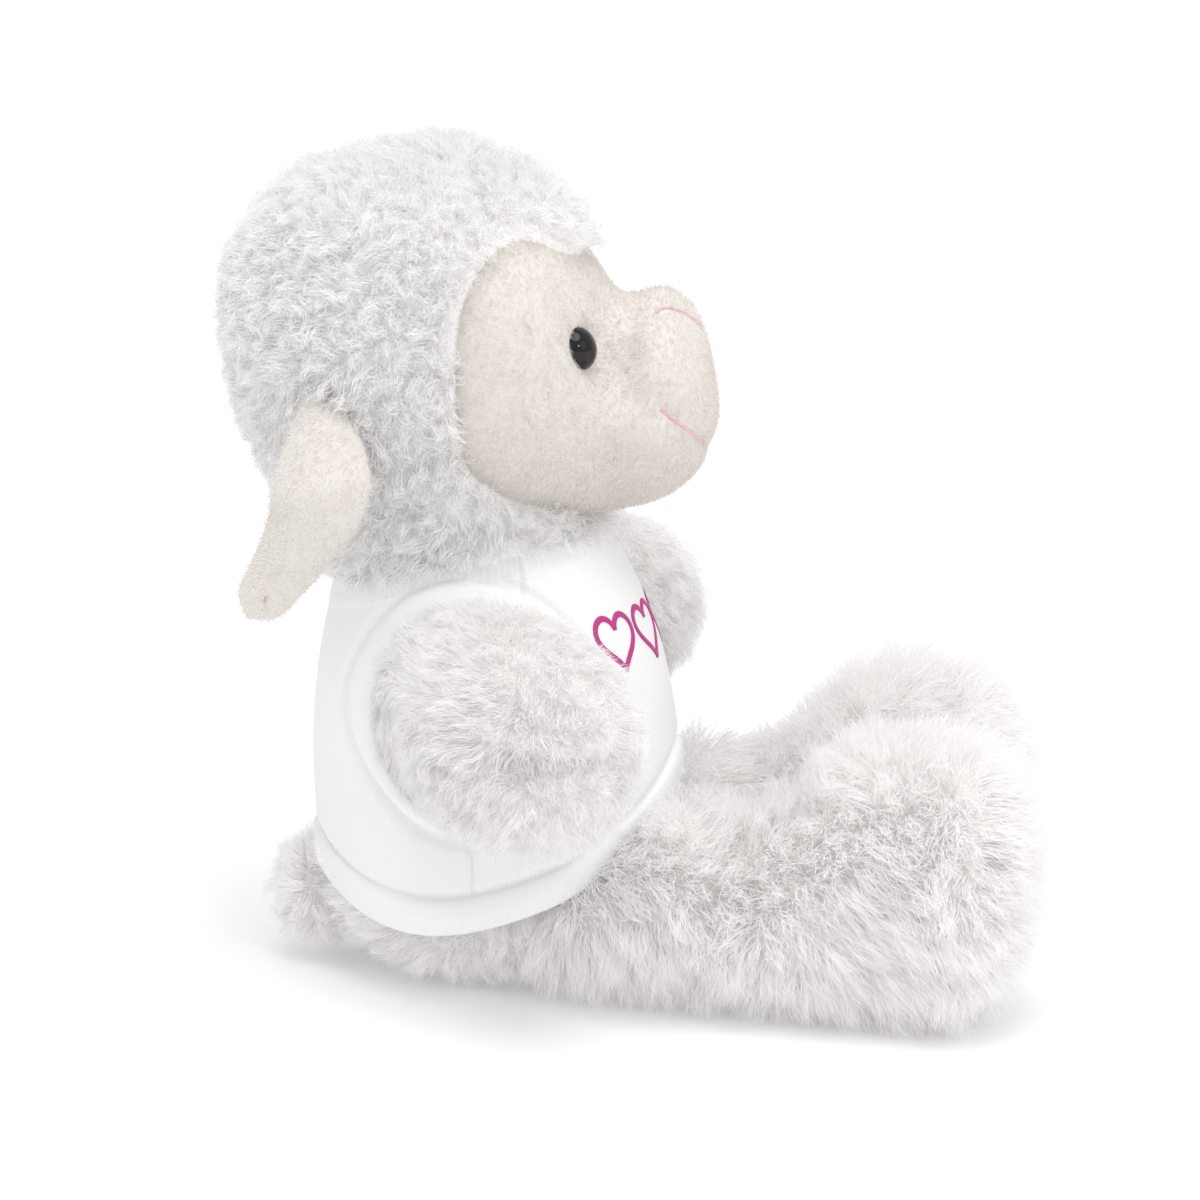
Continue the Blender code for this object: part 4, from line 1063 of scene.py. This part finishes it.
LEG_LEAN, LEG_LEAN_END, LEG_LEAN_FADE = 0.40, -118, 40
SOLE_AT = -125.5
HEM_SIDE, HEM_SLOPE, HEM_BOW_FRONT, HEM_BOW_BACK, HEM_TIP = 21.0, 11.5, 10.0, 18.0, 7.5
# The strands are painted darker at the root than at the tip, on the arms most: painted shade deep
# in the fleece. The piles also glow as painted light: the legs, pelvis, tail and armholes most, the
# arms less.
SHAG_ROOT = tint(0.965, 0.952, 0.943)
SHAG_TIP = tint(0.99, 0.983, 0.980)
SHAG_SHADE = tint(0.97, 0.958, 0.950)
shag = pile_look("limb_shag", SHAG_ROOT, SHAG_TIP, SHAG_SHADE, 0.06)
# The soles' fleece is painted darker than the legs' and has no glow: painted shade on the
# underside.
shaded_sole_shag = pile_look("shaded_sole_shag", tint(0.94, 0.927, 0.918), tint(0.97, 0.962, 0.957),
                      tint(0.95, 0.937, 0.928), 0.0)
arm_shag = pile_look("arm_shag", tint(0.955, 0.94, 0.93), SHAG_TIP, SHAG_SHADE, 0.02)

body_form = Form("up", BODY_ROWS, BODY_SINK)
body_skin = wear(add_thing("body_backing", body_form.skin("body_backing"), backing), "torso",
                 "fleece", "body_fleece", "body_stuffing", "pellet_bag")


def hem_line(angle):
    """The hem's height at each angle from the front: high in front, low at the sides."""
    ahead = np.cos(angle)
    bow = np.where(ahead > 0, HEM_BOW_FRONT + HEM_TIP * ahead ** 4, HEM_BOW_BACK)
    return HEM_SIDE + HEM_SLOPE * ahead + bow * ahead ** 2


def under_tee(places):
    """Which places the tee hides, a little above its hem."""
    return places[:, 2] > (hem_line(around(places)) + 6) * MM


def in_body(places):
    return body_form.inside(places, 1.0 * MM)


def leg_lean(places, normals):
    """Down, and towards the foot except close to it and where the pile faces forward."""
    sideways = np.clip(1 + 1.6 * normals[:, 1], 0, 1)
    ahead = LEG_LEAN * sideways * np.clip((places[:, 1] / MM - LEG_LEAN_END) / LEG_LEAN_FADE, 0, 1)
    return np.stack([0 * ahead, -ahead, 0 * ahead - 0.3], 1) + 0.35 * brushed(places, 12, 14.0)


pile("pelvis_pile", body_skin.data, shag, ("torso", "fleece"), 31, density=3.2, length=9.0,
     tuft=3.2, lean=leaning((0.0, 0.0, -0.25), 0.5, 6, 12.0), width=0.30, curl=1.2, clump=0.6,
     rise=0.35, wild=0.3, bare=under_tee)

for hand_name, hand in SIDES.items():
    arm, leg = f"{hand_name}_arm", f"{hand_name}_leg"
    # The photographed toy holds its left arm a little further forward than its right one
    arm_rows = np.array(ARM_ROWS)
    arm_rows[:, 1] += FAR_ARM_REACH * max(0, hand) * (arm_rows[:, 0] - arm_rows[0, 0]) / 60
    arm_core = Form("side", arm_rows * [hand, 1, 1, 1, 1], ARM_SINK).skin(f"{arm}_backing")
    press(arm_core, traced(SEAM_LINE, hand), 3.0, 3.0)
    skin = wear(add_thing(f"{arm}_backing", arm_core, backing), arm, "limb_fleece",
                f"{arm}_fleece", f"{arm}_stuffing")

    def arm_bare(places, hand=hand):
        """Inside the body, and along the short seam that closes the arm's tip."""
        side, ahead, up = (places * [hand, -1, 1] / MM).T
        along = (side > SEAM_FROM) & (np.abs(ahead - SEAM_MIDDLE) < SEAM_REACH)
        return in_body(places) | along & (np.abs(up - SEAM_UP) < SEAM_GAP)

    pile(f"{arm}_pile", arm_core, arm_shag, (arm, "limb_fleece"), 41 + hand, density=3.4,
         length=7.2, tuft=2.6, lean=leaning((hand * 0.1, -0.1, -0.4), 0.4, 7, 9.0), width=0.27,
         curl=1.2, clump=0.4, rise=0.5, wild=0.3, bare=arm_bare)

    leg_form = Form("back", np.array(LEG_ROWS) * [1, hand, 1, 1, 1], LEG_SINK)
    skin = wear(add_thing(f"{leg}_backing", leg_form.skin(f"{leg}_backing"), backing), leg,
                "limb_fleece", f"{leg}_fleece", f"{leg}_stuffing")
    for layer in range(LEG_LAYERS):
        pile(f"{leg}_pile_{layer + 1}", skin.data, shag, (leg, "limb_fleece"),
             51 + hand + 2 * layer, density=1.8, length=12.5, tuft=4.2, lean=leg_lean, width=0.29,
             curl=0.9, clump=0.42, rise=0.45, wild=0.25, bare=in_body)
    # Each sole is a panel of its own, in a shorter and closer fleece, painted darker than the legs'
    # and without their glow: painted shade on the underside
    pile(f"{hand_name}_sole_pile", skin.data, shaded_sole_shag, (leg, "limb_fleece"), 57 + hand,
         density=3.6, length=7.0, tuft=3.0, lean=leaning((0.0, 0.0, -0.15), 0.4, 12, 14.0),
         width=0.29, curl=1.2, clump=0.4, rise=0.35, wild=0.25,
         bare=lambda places: places[:, 1] > SOLE_AT * MM)

tail_form = Form("back", TAIL_ROWS, TAIL_SINK)
tail_skin = wear(add_thing("tail_backing", tail_form.skin("tail_backing"), backing), "tail",
                 "limb_fleece", "tail_fleece", "tail_stuffing")
pile("tail_pile", tail_skin.data, shag, ("tail", "limb_fleece"), 61, density=7.5, length=7.6,
     tuft=2.6, lean=leaning((0.0, 0.2, -0.2), 0.4, 9, 9.0), width=0.30, curl=1.1, clump=0.45,
     rise=0.5, wild=0.3)
print("tail, mm:", [round(v / MM, 1) for v in tail_skin.dimensions])

# %% [markdown]
# The tee is cut small for the toy: a front and a back of fine knit, sewn at the sides, with a
# soft folded band round each armhole and the hem, and a ribbed band at the neck. It could be
# draped by a simulation over the body. It fits so closely that its shape is the body's own with
# a few soft folds, so it is laid out here by angle and height round the body, and each band is a
# strip of its own along the panels' edges.

# %% The tee's lie
TEE_ROWS = (
    # up, side, back, half width, half depth
    (10.0, 0.0, -1.2, 42.0, 41.0),
    (20.0, 0.0, -1.4, 44.2, 43.4),
    (36.0, 0.0, -1.6, 45.8, 45.0),
    (58.0, 0.0, -1.6, 45.2, 45.6),
    (80.0, 0.0, -0.2, 42.6, 42.8),
    (96.0, 0.0, 1.2, 38.6, 38.6),
    (106.0, 0.0, 2.4, 34.6, 34.8),
    (113.0, 0.0, 3.0, 30.6, 30.6),
    (120.0, 0.0, 4.0, 27.0, 27.0),
)
NECK_WIDTH = 7.0
NECK_TUCK = 2.0
HEM_WIDTH = 9.7
TEE_AROUND = 440
TEE_UPWARD = 110
SIDE_TURN = 90.0
ARMHOLE_PLACE = (0.0, 73.0)
ARMHOLE_SIZE = (27.0, 25.5)
ARMHOLE_WIDTH = 10.5
SEAM_AHEAD, SEAM_BOW = -2.5, 1.6
SHOULDER_AHEAD = 17.0
PULL_DEPTH, PULLS = 0.7, 5
SEAM_STEP, SHOULDER_STEP = 0.75, 0.7
ARMHOLE_GROOVE, SEAM_GROOVE, HEM_GROOVE = 1.5, 0.8, 1.1
LOW_SLACK, HIGH_SLACK = 0.5, 0.45
GIRTH_RADIUS = 43.5
TEE_WALL = 1.0
tee_rows = smooth_rows(TEE_ROWS, 8)


def neck_line(angle):
    """The panels' upper edge, inside the neck band."""
    return collar_line(angle) - NECK_WIDTH + NECK_TUCK


def hole_middle(angle, up, hand):
    """How far a place lies forward of an armhole's middle and above it, in mm of cloth."""
    across = (np.degrees(angle) * hand - SIDE_TURN + 180) % 360 - 180
    return -across * math.radians(1) * GIRTH_RADIUS - ARMHOLE_PLACE[0], up - ARMHOLE_PLACE[1]


def armhole_width(turn):
    """The armhole band's width by the turn about the armhole: broad above and narrow below."""
    return ARMHOLE_WIDTH * (0.4 + 0.6 / (1 + np.exp(-5 * (np.sin(turn) + 0.25))))


def step_at(off, width, fade):
    """One edge of cloth lying over another: a sharp rise at 0 that fades away behind it."""
    return (off > 0) * (1 - np.exp(-np.abs(off) / width)) * np.exp(-np.abs(off) / fade)


def groove(off, width):
    """1 in the middle of a groove or fold and 0 well away from it."""
    return np.exp(-(off / width) ** 2)


def rising(value, low, reach):
    """0 up to low, and 1 from reach beyond it."""
    return np.clip((value - low) / reach, 0, 1)


def folds(angle, up):
    """How far the cloth stands off, in mm: pulls from each armhole, seams, and a slack front."""
    off = np.zeros_like(angle)
    over_hem = up - hem_line(angle) - HEM_WIDTH
    for hand in SIDES.values():
        ahead, above = hole_middle(angle, up, hand)
        far = np.hypot(ahead / ARMHOLE_SIZE[0], above / ARMHOLE_SIZE[1])
        turn = np.arctan2(above, -ahead)
        off = off + PULL_DEPTH * np.sin(turn * PULLS + 0.8) * groove(far - 1.5, 0.45)
        # The armhole band pulls the panel in beside it
        edge = (far - 1) * ARMHOLE_SIZE[0] - armhole_width(turn)
        off = off - ARMHOLE_GROOVE * groove(edge + 0.3, 1.6)
        # The side seam runs down from the armhole, a little to the front, and bows
        seam = ahead - SEAM_AHEAD - SEAM_BOW * np.sin((up - HEM_SIDE) / 26 * math.pi)
        below = rising(-up, -ARMHOLE_PLACE[1], 12) * rising(over_hem, 0, 1.5)
        off = off + (SEAM_STEP * step_at(seam, 0.25, 4.0) - SEAM_GROOVE * groove(seam, 0.7)) * below
        # The shoulder seam lies just in front of the top of the arm
        shoulder = ahead - SHOULDER_AHEAD - 0.12 * (up - 100)
        step = step_at(shoulder, 0.25, 5.0) - groove(shoulder, 0.8)
        off = off + SHOULDER_STEP * step * rising(up, 94, 4)
    off = off - HEM_GROOVE * groove(over_hem - 0.5, 1.1)
    # The front and back hang a little slack, most of all low down
    off = off + LOW_SLACK * np.sin(angle * 6 + up / 13.0) * rising(-up, -70, 40)
    return off + HIGH_SLACK * np.sin(angle * 3 - up / 17.0 + 1.0)


def tee_places(angle, up, lift=0.0):
    """Places on the tee, from angles round the body and heights in mm, lifted outward in mm."""
    angle, up = np.broadcast_arrays(np.asarray(angle, float), np.asarray(up, float))
    side, back, half_width, half_depth = (
        np.interp(up, tee_rows[:, 0], tee_rows[:, i]) for i in range(1, 5))
    off = folds(angle, up) + lift
    x, y = side + (half_width + off) * np.sin(angle), back - (half_depth + off) * np.cos(angle)
    return np.stack([x, y, up], -1) * MM


print("tee girth, mm:", round(math.tau * GIRTH_RADIUS))

# %% [markdown]
# The cloth is fine jersey. Its columns and rows of loops are too small to model, so two waves
# draw them in the finish, on a map in the cloth's own measure that keeps them the same size all
# round. The panels are one sheet with two faces and real armholes, closed along every edge.

# %% Knit
KNIT_WHITE = tint(0.925, 0.925, 0.927)
KNIT_GREY = tint(0.85, 0.85, 0.858)
WALE, COURSE = 0.95, 0.8
# A wave node turns once every tau / 20 units of its scale
WAVE_TURN = math.tau / 20
UNDER_HEM = 3.0
ARMHOLE_CUT = 1.03


def knit_look(name, wale, course):
    """Fine jersey: columns and rows of small loops, seen as faint upright ribs. Sizes in mm."""
    look = Finish(name, Roughness=0.9, Sheen_Weight=0.12)
    where = look.node("ShaderNodeUVMap", {"uv_map": "cloth"})

    def waves(direction, size, distortion):
        return look.node("ShaderNodeTexWave", {"bands_direction": direction},
                         {"Vector": where, "Scale": WAVE_TURN * GIRTH_RADIUS / size,
                          "Distortion": distortion, "Detail": 1.0})

    loops = waves("X", wale, 0.5) * 0.7 + waves("Y", course, 0.8) * 0.3
    # The hollows between the loops, where the bump falls, are painted grey: painted shade. A large
    # noise also varies the tone at random.
    look.colour(look.mix((1 - loops) * 0.45 + look.noise(55.0, 3.0) * 0.3, KNIT_WHITE, KNIT_GREY))
    look.bump(loops + look.noise(1300.0) * 0.4, 0.10 * MM, 0.5)
    return look


def cloth_grid(name, outer, inner, holes=None):
    """A sheet round the body, with two faces from two grids of places and a map of its cloth."""
    rows, columns = outer.shape[:2]
    places = np.vstack([outer.reshape(-1, 3), inner.reshape(-1, 3)])
    back = rows * columns
    faces, kept = [], np.ones((rows - 1, columns), bool)
    if holes is not None:
        kept &= ~holes
    for r, c in np.argwhere(kept):
        n = (c + 1) % columns
        low, high = r * columns, (r + 1) * columns
        a, b, d, e = low + c, low + n, high + n, high + c
        faces.append((a, b, d, e))
        faces.append((back + a, back + e, back + d, back + b))
        # An edge with no face beyond it is closed between the sheet's two sides
        for row, column, p, q in ((r - 1, c, a, b), (r, n, b, d), (r + 1, c, d, e),
                                  (r, (c - 1) % columns, e, a)):
            if not (0 <= row < rows - 1 and kept[row, column]):
                faces.append((q, p, back + p, back + q))
    mesh = mesh_of(name, places, faces)
    layer = mesh.uv_layers.new(name="cloth")
    corners = np.empty(len(mesh.loops), np.int32)
    mesh.loops.foreach_get("vertex_index", corners)
    corners %= back
    column = (corners % columns).reshape(-1, 4)
    column[(column.max(1) > columns / 2)[:, None] & (column == 0)] = columns
    cloth = np.stack([column.ravel(), corners // columns], 1) / columns * math.tau
    layer.uv.foreach_set("vector", cloth.astype(np.float32).ravel())
    return turned_out(mesh)


angles = np.linspace(0, math.tau, TEE_AROUND, endpoint=False)
shares = np.linspace(0, 1, TEE_UPWARD)
angle_grid, share_grid = np.meshgrid(angles, shares)
low_edge, high_edge = hem_line(angles) + UNDER_HEM, neck_line(angles)
up_grid = low_edge + (high_edge - low_edge) * share_grid
middle_up = (up_grid[:-1] + up_grid[1:]) / 2
middle_angle = angle_grid[:-1] + math.pi / TEE_AROUND


def armhole_reach(angle, up):
    """How far a place lies from the nearer armhole's middle, in the armhole's own size."""
    reach = np.full(np.shape(angle), np.inf)
    for hand in SIDES.values():
        ahead, above = hole_middle(angle, up, hand)
        reach = np.minimum(reach, np.hypot(ahead / ARMHOLE_SIZE[0], above / ARMHOLE_SIZE[1]))
    return reach


jersey = knit_look("jersey", WALE, COURSE)
rib_knit = knit_look("rib_knit", WALE * 1.1, COURSE * 1.2)
panel = cloth_grid("tee_body", tee_places(angle_grid, up_grid, TEE_WALL),
                   tee_places(angle_grid, up_grid),
                   holes=armhole_reach(middle_angle, middle_up) < ARMHOLE_CUT)
tee_body = wear(add_thing("tee_body", panel, jersey), "torso", "tee_knit", "tee_front", "tee_back")
print("tee faces:", len(panel.polygons))

# %% [markdown]
# A band is a strip folded double along the edge of a panel. Its outer face is a little proud of
# the panel and rounds over at both edges, and the panel sinks into a fine groove beside it.

# %% Bands
BAND_PROFILE = ((0.0, 0.1), (0.02, 0.8), (0.06, 1.15), (0.14, 1.32), (0.5, 1.4), (0.86, 1.32),
                (0.94, 1.15), (0.98, 0.8), (1.0, 0.1))
BAND_LIFT = 0.7
NECK_LIFT = 0.45
NECK_RIBS = 118
ARMHOLE_LAP = 1.5
UNDER_BAND = -0.25


def band(name, place_at, steps, thickness, *nodes, ribs=0, rib_depth=0.0):
    """A closed strip round an opening. place_at(turn, across, lift) gives a place on it."""
    turns = np.linspace(0, math.tau, steps, endpoint=False)
    shares, lifts = np.array(BAND_PROFILE).T
    turn_grid, share_grid = np.meshgrid(turns, shares)
    ribbed = rib_depth * (np.cos(turn_grid * ribs) - 1) / 2 * np.sin(share_grid * math.pi) ** 0.5
    outer = place_at(turn_grid, share_grid, lifts[:, None] * thickness + ribbed)
    strip = cloth_grid(name, outer, place_at(turn_grid, share_grid, UNDER_BAND))
    return wear(add_thing(name, strip, rib_knit), "torso", "rib_knit", *nodes)


def hem_place(turn, share, lift):
    return tee_places(turn, hem_line(turn) + HEM_WIDTH * share, BAND_LIFT + lift)


def neck_place(turn, share, lift):
    return tee_places(turn, neck_line(turn) - NECK_TUCK + NECK_WIDTH * share, NECK_LIFT + lift)


def armhole_place(hand):
    """Places on one armhole's band."""
    def place_at(turn, share, lift):
        grow = armhole_width(turn) * share
        back = ARMHOLE_PLACE[0] + (ARMHOLE_SIZE[0] - ARMHOLE_LAP + grow) * np.cos(turn)
        up = ARMHOLE_PLACE[1] + (ARMHOLE_SIZE[1] - ARMHOLE_LAP + grow) * np.sin(turn)
        angle = hand * (back / GIRTH_RADIUS + math.radians(SIDE_TURN))
        return tee_places(angle, up, BAND_LIFT + lift)
    return place_at


hem_fold = band("hem_fold", hem_place, 300, 1.0, "hem_band")
neck_fold = band("neck_fold", neck_place, NECK_RIBS * 5, 0.6, "neck_rib", ribs=NECK_RIBS,
                 rib_depth=0.35)
armhole_folds = [band(f"{hand_name}_armhole_fold", armhole_place(hand), 200, 1.4,
                      f"{hand_name}_armhole_rib") for hand_name, hand in SIDES.items()]
print("bands:", 2 + len(armhole_folds))

# %% [markdown]
# Through each armhole the body's own fleece shows round the arm's root. It is short, because the
# arm and the band press it flat, and it closes the dark gap that bare cloth would leave there.

# %% Fleece in the armholes
ARMHOLE_SHOWS = 0.9
pile("armhole_pile", body_skin.data, shag, ("torso", "fleece"), 71, density=4.5, length=6.5,
     tuft=2.6, lean=leaning((0.0, 0.0, 0.0), 0.3, 10, 9.0), width=0.30, curl=0.9, clump=0.4,
     rise=0.5, wild=0.3,
     bare=lambda places: armhole_reach(around(places), places[:, 2] / MM) > ARMHOLE_SHOWS)

# %% [markdown]
# The front of the tee has a plain printed motif: a row of small hearts in magenta outline. The
# print is a thin flat film that follows the knit's lie.

# %% The print
PRINT_MAGENTA = tint(0.47, 0.022, 0.20)
HEART_PLACES = (-25.5, -8.5, 8.5, 25.5)
HEART_UP = 90.5
HEART_SIZE = 0.46
HEART_STROKE = 0.7
HEART_POINTS = 72
PRINT_LIFTS = (0.25, -0.2)


def heart_outline(turn):
    """The common heart curve, in its own units: 32 across and 29 high."""
    up = 13 * np.cos(turn) - 5 * np.cos(2 * turn) - 2 * np.cos(3 * turn) - np.cos(4 * turn)
    return np.stack([16 * np.sin(turn) ** 3, up], -1)


turns = (np.arange(HEART_POINTS) + 0.5) * math.tau / HEART_POINTS
outline = heart_outline(turns) * HEART_SIZE
ways = unit(np.roll(outline, -1, 0) - np.roll(outline, 1, 0))
sideways = np.stack([ways[:, 1], -ways[:, 0]], 1)
film = Finish("print_film", Roughness=0.55)
film.colour(film.mix(film.noise(500.0), PRINT_MAGENTA, tint(0.55, 0.035, 0.25)))
places, faces = [], []
for middle in HEART_PLACES:
    base = len(places)
    for lift in PRINT_LIFTS:
        for offset in (-HEART_STROKE, -HEART_STROKE / 3, HEART_STROKE / 3, HEART_STROKE):
            ring = outline + sideways * offset
            places.extend(tee_places((ring[:, 0] + middle) / GIRTH_RADIUS, ring[:, 1] + HEART_UP,
                                     TEE_WALL + lift))
    # Four rings above and four below, joined along the stroke's inner and outer edges
    under = base + 4 * HEART_POINTS
    faces += tube_faces(base, 4, HEART_POINTS)
    faces += [face[::-1] for face in tube_faces(under, 4, HEART_POINTS)]
    for edge in (0, 3 * HEART_POINTS):
        faces += ring_faces(base + edge, under + edge, HEART_POINTS)
print_mesh = turned_out(mesh_of("tee_print", places, faces))
wear(add_thing("tee_print", print_mesh, film), "torso", "tee_knit")
print("hearts:", len(HEART_PLACES))
